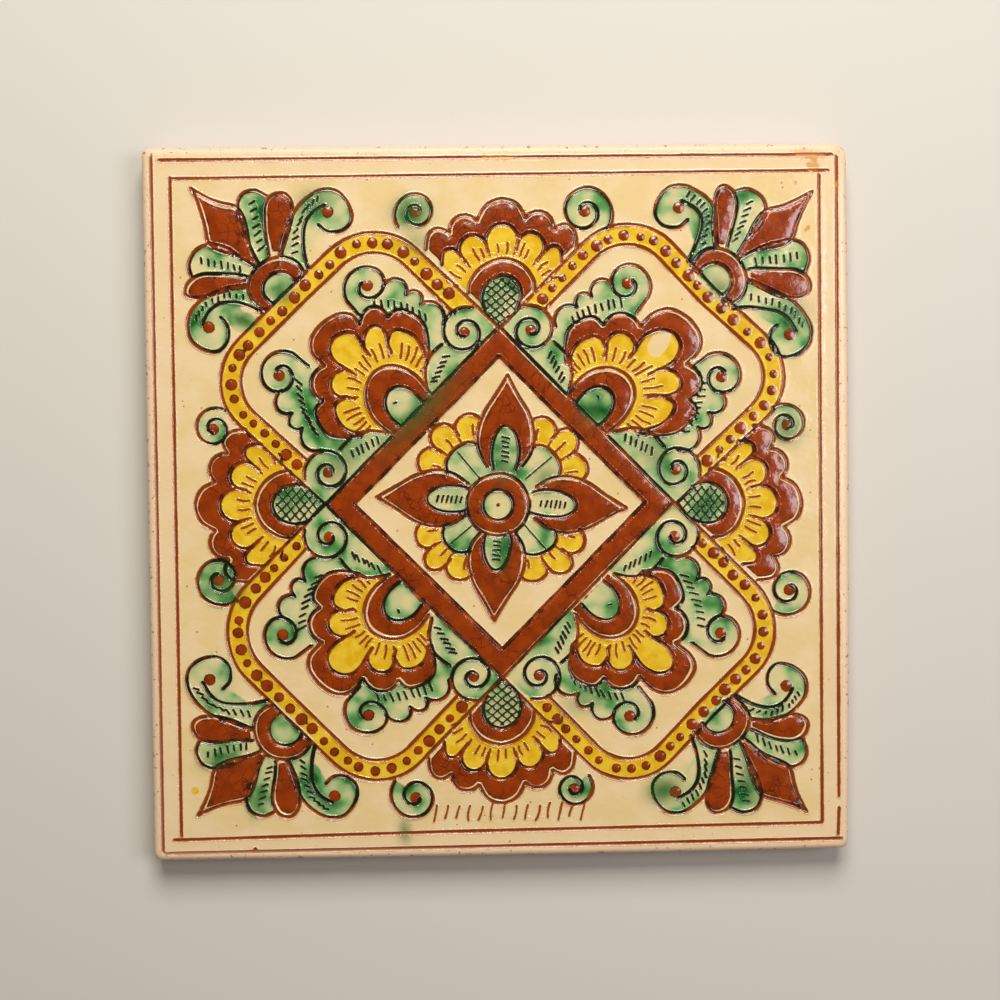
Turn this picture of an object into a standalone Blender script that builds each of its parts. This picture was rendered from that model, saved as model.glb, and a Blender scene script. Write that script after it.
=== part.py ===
"""A nearly square glazed earthenware wall tile with an incised folk ornament.

The tile lies face up. Its origin is the middle of its flat back, +Z points out of the
face and +Y to the top edge of the ornament. All lengths are in metres.
"""
import math

import bmesh
import bpy
from mathutils import Matrix, Vector

# The clay body, cut by hand, so it is a little taller than wide
TILE_WIDTH = 0.1990
TILE_HEIGHT = 0.2014
TILE_THICKNESS = 0.011
CORNER_RADIUS = 0.0020
FACE_EDGE_RADIUS = 0.0016
BACK_EDGE_CHAMFER = 0.0006
RIGHT_SIDE_BOW = 0.0006
BOTTOM_SIDE_BOW = 0.0005

# The stylus line: a V cut through the slip into the clay
LINE_WIDTH = 0.00085
LINE_DEPTH = 0.00040

# Two ruled lines follow each side
OUTER_RULE_INSET = 0.0036
INNER_RULE_INSET = 0.0085
RULE_OVERSHOOT = 0.0012

# A stroke runs on past its last point by this much, so strokes that meet cross a little
LINE_OVERSHOOT = 0.00010

# A dent where the top right corner was knocked before firing
DENT_DEPTH = 0.0009
DENT_RADIUS = 1.8 * DENT_DEPTH

# The ornament is drawn in units. The inner rules frame a field that reaches this many
# units from the middle, so a unit is about one millimetre on the real tile.
FIELD_UNITS = 91.5
UNIT_ACROSS = (TILE_WIDTH / 2 - INNER_RULE_INSET) / FIELD_UNITS
UNIT_UP = (TILE_HEIGHT / 2 - INNER_RULE_INSET) / FIELD_UNITS

# The lozenge and the dotted bands: distances from the middle along a diagonal, in units
LOZENGE_OUTER = 35.0
LOZENGE_BORDER = 5.8
BAND_OUTER = 85.7
BAND_BEND = 17.5
BAND_WIDTH = 4.7
LOZENGE_INNER = LOZENGE_OUTER - LOZENGE_BORDER
BAND_INNER = BAND_OUTER - BAND_WIDTH

# The band's arms run beside the diagonal, their outer edge in line with the lozenge's
ARM_WIDTH = 5.7
ARM_START = 12.4
ARM_INNER = LOZENGE_OUTER - ARM_WIDTH

# The rosette in the middle, in units, turned a little clockwise as the hand drew it
ROSETTE_EYE = 4.3
ROSETTE_RING = 8.8
ROSETTE_TURN = -2.0

# Along a middle line, the side palmettes start where the lozenge's corner is
SIDE_APEX = LOZENGE_OUTER * math.sqrt(2)

# Each motif is drawn in units for a bay this deep, and scaled to the bay that it is set in
PALMETTE_BAY = 46.0
CORNER_BAY = 43.7
SIDE_BAY = 42.0
PETAL_BAY = 32.5
FAN_BAY = 20.4

# Points of a mesh that are this close are one point
WELD = 1e-6

BODY_COLOUR = (0.80, 0.62, 0.36)
BODY_ROUGHNESS = 0.18


# Drawing: strokes are lists of points (out, across) in a motif's own frame

def arc(start, crown, end, steps=3):
    """The arc of a circle from start over crown to end."""
    (ax, ay), (bx, by), (cx, cy) = start, crown, end
    a2, b2, c2 = ax * ax + ay * ay, bx * bx + by * by, cx * cx + cy * cy
    double_area = 2 * (ax * (by - cy) + bx * (cy - ay) + cx * (ay - by))
    mx = (a2 * (by - cy) + b2 * (cy - ay) + c2 * (ay - by)) / double_area
    my = (a2 * (cx - bx) + b2 * (ax - cx) + c2 * (bx - ax)) / double_area
    radius = math.hypot(ax - mx, ay - my)
    first = math.atan2(ay - my, ax - mx)
    sweep = (math.atan2(cy - my, cx - mx) - first) % math.tau
    if (math.atan2(by - my, bx - mx) - first) % math.tau > sweep:
        sweep -= math.tau
    angles = [first + sweep * i / steps for i in range(steps + 1)]
    return [(mx + radius * math.cos(a), my + radius * math.sin(a)) for a in angles]


def coil(middle, start_radius, end_radius, start_degrees, sweep_degrees, steps):
    """A spiral whose radius changes evenly as it turns."""
    points = []
    for i in range(steps + 1):
        share = i / steps
        radius = start_radius + (end_radius - start_radius) * share
        angle = math.radians(start_degrees + sweep_degrees * share)
        points.append((middle[0] + radius * math.cos(angle), middle[1] + radius * math.sin(angle)))
    return points


def chain(*strokes):
    """One stroke from several, each starting where the one before it ends."""
    joined = list(strokes[0])
    for stroke in strokes[1:]:
        joined += stroke[1:]
    return joined


def mirrored(stroke):
    """The stroke on the other side of the motif's middle line."""
    return [(out, -across) for out, across in stroke]


def both_sides(*strokes):
    """The strokes and their mirror images."""
    return list(strokes) + [mirrored(stroke) for stroke in strokes]


def whole(half):
    """One stroke from a half that starts on one side and ends on the middle line."""
    return half + mirrored(half[-2::-1])


def horseshoe(half_width, height):
    """An arch that bulges over its base and comes round on top."""
    shares = ((0.0, 0.93), (0.40, 1.0), (0.80, 0.70), (1.0, 0.0))
    return whole([(height * up, half_width * across) for up, across in shares])


def fitted(strokes, drawn_depth, start, end):
    """A motif that was drawn for a bay of one depth, set in the bay from start to end."""
    share = (end - start) / drawn_depth
    return [[(start + u * share, v * share) for u, v in stroke] for stroke in strokes]


def turned(strokes, degrees):
    """The strokes turned about the middle of the tile."""
    c, s = math.cos(math.radians(degrees)), math.sin(math.radians(degrees))
    return [[(c * u - s * v, s * u + c * v) for u, v in stroke] for stroke in strokes]


def four_times(strokes, first_degrees):
    """The strokes a quarter turn apart, the first of them at the given angle."""
    return [stroke for quarter in range(4) for stroke in turned(strokes, first_degrees + 90 * quarter)]


# Motifs

def bend_line(arm, reach, bend, steps):
    """A quarter turn from the band's arm to its cross piece."""
    middle = (reach - bend, arm - bend)
    diagonal = bend * math.sqrt(0.5)
    crown = (middle[0] + diagonal, middle[1] + diagonal)
    return arc((middle[0], arm), crown, (reach, middle[1]), steps)


def crossed_frames():
    """Two long frames with round ends that cross, and the square inside their crossing."""
    end = whole(bend_line(LOZENGE_OUTER, BAND_OUTER, BAND_BEND, 4) + [(BAND_OUTER, 0.0)])
    frame = end + turned([end], 180)[0] + end[:1]
    square = four_times([[(LOZENGE_INNER, -LOZENGE_INNER), (LOZENGE_INNER, LOZENGE_INNER)]], 45)
    return turned([frame], 45) + turned([frame], 135) + square


def dotted_band():
    """The inner edge of the dotted band round each frame's end."""
    start = [(LOZENGE_OUTER + ARM_START, ARM_INNER)]
    bend = bend_line(ARM_INNER, BAND_INNER, BAND_BEND - BAND_WIDTH, 3)
    inner = whole(start + bend + [(BAND_INNER, 0.0)])
    return four_times([inner], 45)


def in_the_bay(strokes):
    """Set in the bay between the lozenge and a band."""
    return fitted(strokes, PALMETTE_BAY, LOZENGE_OUTER, BAND_INNER)


def large_palmettes():
    """A heart in an arch, five yellow petals and a scalloped border, from the lozenge outwards."""
    petals = chain([(4.0, 11.4), (8.0, 14.4), (13.2, 16.0), (17.6, 13.6), (17.0, 9.3)],
                   arc((17.0, 9.3), (24.0, 8.9), (22.0, 3.7)),
                   [(22.0, 3.7), (27.0, 4.7), (31.5, 3.3), (33.4, 0.0)])
    border = chain([(7.2, 15.0), (12.2, 20.2), (19.4, 19.6), (21.3, 14.7)],
                   arc((21.3, 14.7), (27.8, 13.0), (28.3, 7.4)),
                   [(28.3, 7.4), (34.0, 7.5), (38.2, 5.0), (39.6, 0.0)])
    strokes = [horseshoe(4.9, 9.3), horseshoe(8.5, 15.7), whole(petals), whole(border)]
    return four_times(in_the_bay(strokes), 45)


def feather_scrolls():
    """A curl and three lobes that grow along the palmette's border."""
    curl = [(30.3, 10.5)] + coil((34.2, 18.0), 7.0, 3.0, -75, 360, 8)
    lobes = chain(arc((31.0, 20.7), (28.5, 25.0), (24.5, 22.9)),
                  arc((24.5, 22.9), (23.0, 25.6), (19.5, 23.6), 2),
                  arc((19.5, 23.6), (16.8, 26.7), (11.2, 24.2)))
    return four_times(in_the_bay(both_sides(curl, lobes)), 45)


def leaf_scrolls():
    """A curl in each of the lozenge's outer corners, with a leaf between it and the palmette."""
    curl = coil((6.2, 28.4), 7.1, 3.1, 62, -390, 8)
    leaf = [(0.8, 8.4), (6.6, 11.8), (8.6, 16.6), (8.3, 21.5)]
    return four_times(in_the_bay(both_sides(curl, leaf)), 45)


def corner_fleurons():
    """A heart in an arch with a spear, two leaves, two drops and two scrolls."""
    scroll = [(9.3, 6.4), (14.0, 13.6), (14.4, 22.6), (8.8, 29.4), (1.8, 28.0), (0.8, 22.6), (6.6, 19.0)]
    drop = [(10.1, 5.6), (15.4, 10.8), (17.8, 17.4), (22.4, 17.2), (22.4, 10.8), (10.9, 4.2)]
    spear = [(11.9, 0.8), (18.4, 2.6), (25.6, 5.2), (30.3, 3.0), (38.8, 0.0)]
    leaf = [(16.5, 1.8), (21.3, 2.6), (26.8, 5.2), (27.6, 9.6), (22.9, 11.2)]
    scroll_back = [(0.3, 9.2), (8.4, 14.2), (9.1, 24.2)]
    strokes = [horseshoe(4.8, 6.9), horseshoe(8.4, 11.2), whole(spear)]
    strokes += both_sides(leaf, drop, scroll, scroll_back)
    return four_times(fitted(strokes, CORNER_BAY, BAND_OUTER, FIELD_UNITS * math.sqrt(2)), 45)


def side_palmettes():
    """Half palmettes that stand in the V between two bands, and the spirals beside them."""
    heart = [(4.5, 4.5), (8.0, 5.6), (11.8, 4.3), (13.8, 0.0)]
    arch = [(9.5, 9.5), (12.5, 9.2), (16.5, 6.0), (18.9, 0.0)]
    petals = chain([(17.1, 17.1), (20.8, 16.6), (21.5, 14.0), (19.3, 11.5)],
                   arc((19.3, 11.5), (25.5, 8.5), (23.3, 4.7)),
                   [(23.3, 4.7), (27.0, 3.1), (28.3, 0.0)])
    border = chain([(21.5, 21.5), (25.7, 20.8), (27.5, 18.0), (26.2, 14.9)],
                   arc((26.2, 14.9), (31.1, 11.2), (29.5, 6.9)),
                   [(29.5, 6.9), (33.5, 4.5), (35.1, 0.0)])
    spiral = coil((32.2, 24.0), 8.6, 3.9, 128, -390, 8)
    strokes = [whole(heart), whole(arch), whole(petals), whole(border), *both_sides(spiral)]
    return four_times(fitted(strokes, SIDE_BAY, SIDE_APEX, FIELD_UNITS), 0)


def rosette():
    """An eye in a ring, four pointed petals on the middle lines and four fans between them."""
    rings = [coil((0.0, 0.0), radius, radius, 0, 360, steps)
             for radius, steps in ((ROSETTE_RING, 12), (ROSETTE_EYE, 8))]
    petal = [(0.7, 4.3), (4.7, 6.9), (10.7, 7.6), (18.0, 5.0), (26.4, 0.0)]
    leaf = [(-0.1, 3.2), (4.2, 3.9), (8.7, 3.0), (12.0, 0.0)]
    arch = [(2.2, 5.2), (6.2, 5.9), (9.8, 4.0), (11.0, 0.0)]
    lobes = chain(arc((10.2, 10.3), (16.4, 8.0), (15.2, 3.6)), [(15.2, 3.6), (18.4, 2.4), (19.4, 0.0)])
    corner = LOZENGE_INNER * math.sqrt(2)
    petals = four_times(fitted([whole(petal), whole(leaf)], PETAL_BAY, ROSETTE_RING, corner), 0)
    fans = four_times(fitted([whole(arch), whole(lobes)], FAN_BAY, ROSETTE_RING, LOZENGE_INNER), 45)
    return turned(rings + petals + fans, ROSETTE_TURN)


def rules():
    """Two lines along every side, in metres, that pass each other a little at the corners."""
    strokes = []
    for inset in (OUTER_RULE_INSET, INNER_RULE_INSET):
        right = TILE_WIDTH / 2 - inset
        top = TILE_HEIGHT / 2 - inset
        for way in (-1, 1):
            strokes.append([(way * right, -top - RULE_OVERSHOOT), (way * right, top + RULE_OVERSHOOT)])
            strokes.append([(-right - RULE_OVERSHOOT, way * top), (right + RULE_OVERSHOOT, way * top)])
    return strokes


# Modelling

def new_collection(name):
    collection = bpy.data.collections.new(name)
    bpy.context.scene.collection.children.link(collection)
    return collection


def clay_outline():
    """The tile's outline from the right side round: sides, two of them bowed, and round corners."""
    reaches = (TILE_WIDTH / 2, TILE_HEIGHT / 2, TILE_WIDTH / 2, TILE_HEIGHT / 2)
    bows = (RIGHT_SIDE_BOW, 0.0, 0.0, BOTTOM_SIDE_BOW)
    outline = []
    for side, (reach, bow) in enumerate(zip(reaches, bows)):
        half_run = reaches[side - 1] - CORNER_RADIUS
        start = bows[side - 1] - half_run
        end = half_run - bows[(side + 1) % 4]
        steps = 4 if bow else 1
        for i in range(steps + 1):
            share = i / steps
            bulge = bow * (4 * share * (1 - share) - 1)
            outline += turned([[(reach + bulge, start + (end - start) * share)]], 90 * side)[0]
        centre = (reach - bow - CORNER_RADIUS, end)
        corner = coil(centre, CORNER_RADIUS, CORNER_RADIUS, 0, 90, 3)[1:-1]
        outline += turned([corner], 90 * side)[0]
    return outline


def mesh_of(curve, collection):
    """The mesh that a curve makes, with the curve taken away."""
    guide = bpy.data.objects.new(curve.name + "_guide", curve)
    collection.objects.link(guide)
    evaluated = guide.evaluated_get(bpy.context.evaluated_depsgraph_get())
    mesh = bpy.data.meshes.new_from_object(evaluated)
    bpy.data.objects.remove(guide)
    return mesh


def stylus_cutter(name, strokes, scale, collection):
    """A diamond-section tube along every stroke, level with the face, made one mesh."""
    curve = bpy.data.curves.new(name, "CURVE")
    curve.dimensions = "3D"
    curve.twist_mode = "Z_UP"
    curve.bevel_depth = LINE_WIDTH / 2
    curve.bevel_resolution = 0
    curve.use_fill_caps = True
    for stroke in strokes:
        path = [Vector((x * scale[0], y * scale[1])) for x, y in stroke]
        closed = (path[0] - path[-1]).length < LINE_WIDTH / 10
        if closed:
            path.pop()
        else:
            path[0] += (path[0] - path[1]).normalized() * LINE_OVERSHOOT
            path[-1] += (path[-1] - path[-2]).normalized() * LINE_OVERSHOOT
        spline = curve.splines.new("POLY")
        spline.use_cyclic_u = closed
        spline.points.add(len(path) - 1)
        for point, place in zip(spline.points, path):
            point.co = (*place, 0.0, 1.0)
    mesh = mesh_of(curve, collection)
    bm = bmesh.new()
    bm.from_mesh(mesh)
    bmesh.ops.remove_doubles(bm, verts=bm.verts, dist=WELD)
    deepen = Matrix.Scale(LINE_DEPTH / (LINE_WIDTH / 2), 4, (0, 0, 1))
    bmesh.ops.transform(bm, matrix=deepen, verts=bm.verts)
    bmesh.ops.translate(bm, vec=(0, 0, TILE_THICKNESS), verts=bm.verts)
    bmesh.ops.recalc_face_normals(bm, faces=bm.faces)
    bm.to_mesh(mesh)
    bm.free()
    new_cutter(name, mesh, collection)


def new_cutter(name, mesh, collection):
    cutter = bpy.data.objects.new(name, mesh)
    cutter.hide_render = True
    cutter.display_type = "WIRE"
    collection.objects.link(cutter)


def dent_cutter(collection):
    """A ball that presses the rounded top right corner in."""
    inset = CORNER_RADIUS * (1 - math.sqrt(0.5))
    corner = (TILE_WIDTH / 2 - RIGHT_SIDE_BOW - inset, TILE_HEIGHT / 2 - inset)
    mesh = bpy.data.meshes.new("corner_dent")
    bm = bmesh.new()
    place = Matrix.Translation((*corner, TILE_THICKNESS + DENT_RADIUS - DENT_DEPTH))
    bmesh.ops.create_icosphere(bm, subdivisions=1, radius=DENT_RADIUS, matrix=place)
    bm.to_mesh(mesh)
    bm.free()
    new_cutter("corner_dent", mesh, collection)


def cut(tile, cutters):
    """Every cutter taken out of the tile at once, where their strokes cross each other too."""
    modifier = tile.modifiers.new("incised_lines", "BOOLEAN")
    modifier.operation = "DIFFERENCE"
    modifier.solver = "EXACT"
    modifier.use_self = True
    modifier.operand_type = "COLLECTION"
    modifier.collection = cutters


def glazed_clay():
    material = bpy.data.materials.new("glazed_earthenware")
    material.use_nodes = True
    shader = material.node_tree.nodes["Principled BSDF"]
    shader.inputs["Base Color"].default_value = (*BODY_COLOUR, 1.0)
    shader.inputs["Roughness"].default_value = BODY_ROUGHNESS
    shader.inputs["Metallic"].default_value = 0.0
    return material


def rim(bm, way):
    """The edges where the flat that looks one way meets the tile's sides."""
    flat = {face for face in bm.faces if face.normal.dot(way) > 0.99}
    return [edge for edge in bm.edges if len(flat.intersection(edge.link_faces)) == 1]


def clay_slab(collection):
    """The tile's body: its outline extruded, the face's edge rolled and the back's edge pared."""
    curve = bpy.data.curves.new("tile_outline", "CURVE")
    curve.dimensions = "2D"
    curve.fill_mode = "BOTH"
    curve.extrude = TILE_THICKNESS / 2
    outline = clay_outline()
    spline = curve.splines.new("POLY")
    spline.use_cyclic_u = True
    spline.points.add(len(outline) - 1)
    for point, (x, y) in zip(spline.points, outline):
        point.co = (x, y, 0.0, 1.0)
    mesh = mesh_of(curve, collection)
    bm = bmesh.new()
    bm.from_mesh(mesh)
    bmesh.ops.remove_doubles(bm, verts=bm.verts, dist=WELD)
    bmesh.ops.dissolve_limit(bm, angle_limit=math.radians(0.1), verts=bm.verts, edges=bm.edges)
    bmesh.ops.translate(bm, vec=(0, 0, TILE_THICKNESS / 2), verts=bm.verts)
    bmesh.ops.recalc_face_normals(bm, faces=bm.faces)
    for way, width, segments in ((1, FACE_EDGE_RADIUS, 2), (-1, BACK_EDGE_CHAMFER, 1)):
        edges = rim(bm, Vector((0, 0, way)))
        bmesh.ops.bevel(bm, geom=edges, offset=width, segments=segments, profile=0.5, affect="EDGES")
    bm.to_mesh(mesh)
    bm.free()
    tile = bpy.data.objects.new("tile", mesh)
    collection.objects.link(tile)
    tile.data.materials.append(glazed_clay())
    return tile


def main():
    for item in list(bpy.data.objects):
        bpy.data.objects.remove(item)
    tile = clay_slab(new_collection("decorative_ceramic_tile"))
    cutters = new_collection("cutters")
    motifs = (crossed_frames, dotted_band, large_palmettes, feather_scrolls, leaf_scrolls,
              corner_fleurons, side_palmettes, rosette)
    stylus_cutter("rules", rules(), (1.0, 1.0), cutters)
    for motif in motifs:
        stylus_cutter(motif.__name__, motif(), (UNIT_ACROSS, UNIT_UP), cutters)
    dent_cutter(cutters)
    cut(tile, cutters)


main()
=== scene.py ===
"""A hand-cut earthenware tile: red clay, cream slip, an ornament cut with a stylus and painted with brown
slip, amber yellow and copper green under a clear glaze."""
import math
import random

import bmesh
import bpy
import numpy as np
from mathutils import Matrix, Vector, geometry, noise


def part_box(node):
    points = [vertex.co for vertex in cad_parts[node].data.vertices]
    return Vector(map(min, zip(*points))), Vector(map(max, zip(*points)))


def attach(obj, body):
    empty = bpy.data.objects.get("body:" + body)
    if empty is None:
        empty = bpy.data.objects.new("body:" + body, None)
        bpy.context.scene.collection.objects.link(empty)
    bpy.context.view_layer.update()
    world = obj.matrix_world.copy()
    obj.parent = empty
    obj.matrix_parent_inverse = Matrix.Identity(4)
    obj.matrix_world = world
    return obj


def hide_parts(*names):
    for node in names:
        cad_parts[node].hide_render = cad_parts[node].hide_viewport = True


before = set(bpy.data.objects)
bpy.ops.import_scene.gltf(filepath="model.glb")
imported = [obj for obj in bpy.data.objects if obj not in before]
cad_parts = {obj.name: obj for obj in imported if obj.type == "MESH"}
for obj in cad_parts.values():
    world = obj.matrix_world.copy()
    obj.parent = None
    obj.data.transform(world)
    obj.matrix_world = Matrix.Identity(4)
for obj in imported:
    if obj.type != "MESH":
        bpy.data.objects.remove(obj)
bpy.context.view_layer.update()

bpy.ops.object.select_all(action="DESELECT")

# The hand's unsteadiness is the same in each run; without a seed, noise_vector goes by the clock.
noise.seed_set(4)

# The tile's box, in millimetres. The ornament is drawn in units of a hundredth of half the tile's side.
MM = 0.001
LOW, HIGH = (np.array(corner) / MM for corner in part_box("tile"))
SIZE = (HIGH - LOW)[:2]
UNIT = SIZE / 2 / 100
TOP = HIGH[2]

# The slab: the face's depth below the box, its edges, the levels of the rings on its sides, the height up to
# which they are bare, the bow of two sides, and the outline's wobble.
SKIN = 0.29
CORNER_RADIUS = 2.0
ROLL = 1.6
PARED = 0.6
SIDE_LEVELS = (7.2, 5.4, 3.6, 2.0)
BARE_FOOT = 3.0
RIGHT_BOW = 0.6
BOTTOM_BOW = (0.1, 0.5)
OUTLINE_STEP = 1.15
OUTLINE_WOBBLE = 0.10

# The top right corner was knocked: the dent's middle, how far it reaches, how deep it is, and how far
# in it goes for each millimetre down.
DENT = (98.2, 100.0)
DENT_REACH = 3.4
DENT_DEPTH = 0.9
DENT_IN = 0.45

# The stylus lines: half their width, and their depth. The wall takes a share of the half width, and the rest
# is flat floor. Beside the heavier lines stands a burr: how far out, how wide, and its share of the depth.
CONTOUR = (0.53, 0.38)
RULE = (0.46, 0.26)
BAND_LINE = (0.50, 0.36)
MARK = (0.34, 0.22)
FINE = (0.22, 0.14)
WALL = 0.4
BURR_OUT = 0.12
BURR_WIDTH = 0.14
BURR = 0.13

# How unevenly the stylus pressed, and how far from a line or an outline anything is measured.
PRESS = 0.22
REACH = 4.0

# The face's mesh: the steps along a line, along a light one and of the loose fill; the rows beside a line,
# counted from its edge; and how far points keep from a line, a dot, the rim and one another.
LINE_STEP = 0.85
MARK_STEP = 0.6
FILL_STEP = 1.75
MARK_ROW = 0.32
LINE_ROWS = (0.18, 0.64)
ROW_GAP = 0.22
RING_GAP = 0.45
FILL_GAP = 0.9
DOT_GAP = 2.1
RIM_GAP = 0.35
POINT_GAP = 0.27

# What the brush left standing on the face.
SLIP_HEIGHT = 0.26
DOT_HEIGHT = 0.07
GLAZE_HEIGHT = 0.05
FACE_WAVE = 0.05


def arc(start, crown, end, steps=7):
    """A circle's arc from start over crown to end."""
    (ax, ay), (bx, by), (cx, cy) = start, crown, end
    d = 2 * (ax * (by - cy) + bx * (cy - ay) + cx * (ay - by))
    a2, b2, c2 = ax * ax + ay * ay, bx * bx + by * by, cx * cx + cy * cy
    mx = (a2 * (by - cy) + b2 * (cy - ay) + c2 * (ay - by)) / d
    my = (a2 * (cx - bx) + b2 * (ax - cx) + c2 * (bx - ax)) / d
    r = math.hypot(ax - mx, ay - my)
    first = math.atan2(ay - my, ax - mx)
    sweep = (math.atan2(cy - my, cx - mx) - first) % math.tau
    if (math.atan2(by - my, bx - mx) - first) % math.tau > sweep:
        sweep -= math.tau
    turns = [first + sweep * i / steps for i in range(steps + 1)]
    return [(mx + r * math.cos(a), my + r * math.sin(a)) for a in turns]


def smooth(points, steps=4):
    """A Catmull-Rom curve through the points."""
    ends = [points[0], *points, points[-1]]
    out = []
    for p0, p1, p2, p3 in zip(ends, ends[1:], ends[2:], ends[3:]):
        for i in range(steps):
            t = i / steps
            out.append(tuple(
                0.5 * (2 * b + (c - a) * t + (2 * a - 5 * b + 4 * c - d) * t * t
                       + (3 * b - a - 3 * c + d) * t ** 3)
                for a, b, c, d in zip(p0, p1, p2, p3)))
    out.append(points[-1])
    return out


def coil(centre, start_radius, end_radius, start_angle, sweep, steps):
    """A spiral whose radius changes evenly as it turns; angles in degrees."""
    out = []
    for i in range(steps + 1):
        t = i / steps
        r = start_radius + (end_radius - start_radius) * t
        a = math.radians(start_angle + sweep * t)
        out.append((centre[0] + r * math.cos(a), centre[1] + r * math.sin(a)))
    return out


def flip(points):
    """The points mirrored in the motif's own axis."""
    return [(u, -v) for u, v in points]


# A shape as it is drawn, and mirrored, by the side of its motif's axis.
ON_SIDE = {1: list, -1: flip}


def whole(half):
    """A half outline, from the crown down, and its mirror image, as one closed outline."""
    return flip(half[::-1]) + list(half)


def crown_down(points):
    """Half of a round crown, from its top down, level where it meets its mirror image."""
    both_halves = smooth(flip(points[:0:-1]) + list(points))
    return both_halves[len(both_halves) // 2:]


def horseshoe(base, half_width, height):
    """A round-headed arch that stands on the line u = base."""
    shares = ((0.0, 0.93), (0.35, 1.0), (0.68, 0.84), (0.91, 0.48), (1.0, 0.0))
    half = [(base + height * h, half_width * w) for h, w in shares]
    return smooth(half + flip(half[-2::-1]), 3)


def turned(points, degrees, centre=(0.0, 0.0)):
    """The points turned about the origin, then moved to centre."""
    c, s = math.cos(math.radians(degrees)), math.sin(math.radians(degrees))
    return [(centre[0] + c * u - s * v, centre[1] + s * u + c * v) for u, v in points]


def run_of(path):
    """How far along a line each of its points lies."""
    return np.concatenate([[0], np.cumsum(np.hypot(*np.diff(path, axis=0).T))])


def place_at(path, run, at):
    """The place, or places, so far along a line."""
    return np.array([np.interp(at, run, path[:, i]) for i in (0, 1)])


def distances(points, start, leg):
    """How far each point is from each straight piece, given by its start and its leg."""
    off = points[:, None] - start
    share = np.clip((off * leg).sum(2) / np.maximum((leg * leg).sum(1), 1e-9), 0, 1)
    return np.hypot(*(off - share[..., None] * leg).transpose(2, 0, 1))


class Face:
    """All that the maker drew and painted, in that order, in millimetres from the tile's middle."""

    def __init__(self):
        self.lines = []
        self.areas = []
        self.dots = []


class Hand:
    """Puts a motif on the face: turned to its place, drifted as the hand drifted, a little unsteady."""

    def __init__(self, face, turn, drifts=(), reach=10.0, centre=(0.0, 0.0), scale=1.0):
        self.face = face
        self.turn = turn
        self.drifts = drifts
        self.reach = reach
        self.centre = centre
        self.scale = scale

    def on_tile(self, points):
        """The motif's points as they lie on the tile, in millimetres."""
        scaled = [(self.scale * u, self.scale * v) for u, v in points]
        at = np.array(turned(scaled, self.turn, self.centre))
        weights = np.full(len(at), 0.05)
        drift = np.zeros_like(at)
        for x, y, right, up in self.drifts:
            near = np.exp(-((at - (x, y)) ** 2).sum(1) / (2 * self.reach ** 2))
            weights += near
            drift += near[:, None] * (right, up)
        at = (at + drift / weights[:, None]) * UNIT
        return at + [unsteady(x, y) for x, y in at]

    def line(self, points, tool=CONTOUR):
        self.face.lines.append((self.on_tile(points), *tool))

    def mark(self, points):
        """A short light stroke inside a leaf or petal."""
        self.line(points, MARK)

    def paint(self, colour, outline, inset=None):
        """An area of slip or glaze inside an outline; the thick brown never lies quite true."""
        placed = self.on_tile(outline)
        if colour == "brown":
            middle = placed.mean(0) / 14
            placed = placed + ASTRAY * np.array(noise.noise_vector(Vector((*middle, 3.0)))[:2])
        self.face.areas.append((colour, placed, INSET[colour] if inset is None else inset))

    def both(self, draw, points, *more):
        """The same stroke or area on both sides of the motif's axis."""
        draw(points, *more)
        draw(flip(points), *more)

    def dot(self, place, radius):
        """A drop of brown slip."""
        self.face.dots.append((self.on_tile([place])[0], radius))


def unsteady(x, y):
    """How far the hand strays at a place, in millimetres: a slow drift and a quick shake."""
    slow = noise.noise_vector(Vector((x / 32, y / 32, 4.7)))
    quick = noise.noise_vector(Vector((x / 7, y / 7, 9.1)))
    return (0.35 * slow[0] + 0.17 * quick[0], 0.35 * slow[1] + 0.17 * quick[1])


# How far the ornament strays from its scheme: across and up to the place, and the move across and up.
BAND_DRIFTS = (
    (60, 60, 0.8, -1.0), (38, 78, 1.4, -0.3), (80, 33, 3.9, -1.3), (66, 17, 1.4, -1.1), (18, 68, 0.4, 0.1),
    (-60, 60, 0.1, -1.6), (-37, 75, 0.8, -2.3), (-78, 36, -1.1, -2.1), (-20, 69, 0.3, -1.1),
    (-66, 18, -0.2, -0.6), (-60, -60, -0.2, 0.0), (-76, -37, 0.0, 0.3), (-66, -18, -0.9, 0.7),
    (-36, -78, 0.0, 0.0), (-18, -68, 0.0, 0.0), (60, -60, 0.0, -0.1), (75, -37, 0.4, -0.7),
    (36, -78, 0.0, -0.8), (66, -18, 0.4, -0.2), (18, -68, 0.0, -0.3),
)
PALMETTE_DRIFTS = (
    (50, 53, 1.1, -1.7), (52, 38, 4.3, -1.1), (38, 52, 0.4, -0.5), (30, 30, 0.0, 0.0), (-53, 53, 3.6, -2.3),
    (-28, 50, -1.9, 2.1), (-51, 38, 0.3, -0.2), (-30, 30, -0.1, 0.2), (-53, -53, 1.3, 3.1),
    (-50, -39.5, -1.5, 0.6), (-38, -52, -0.2, 0.6), (-30, -30, -1.2, -0.4), (53, -53, 0.1, 1.6),
    (52, -38, -0.4, -1.3), (38, -52, -0.2, 0.6), (30, -30, 1.5, -1.0),
)
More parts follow.
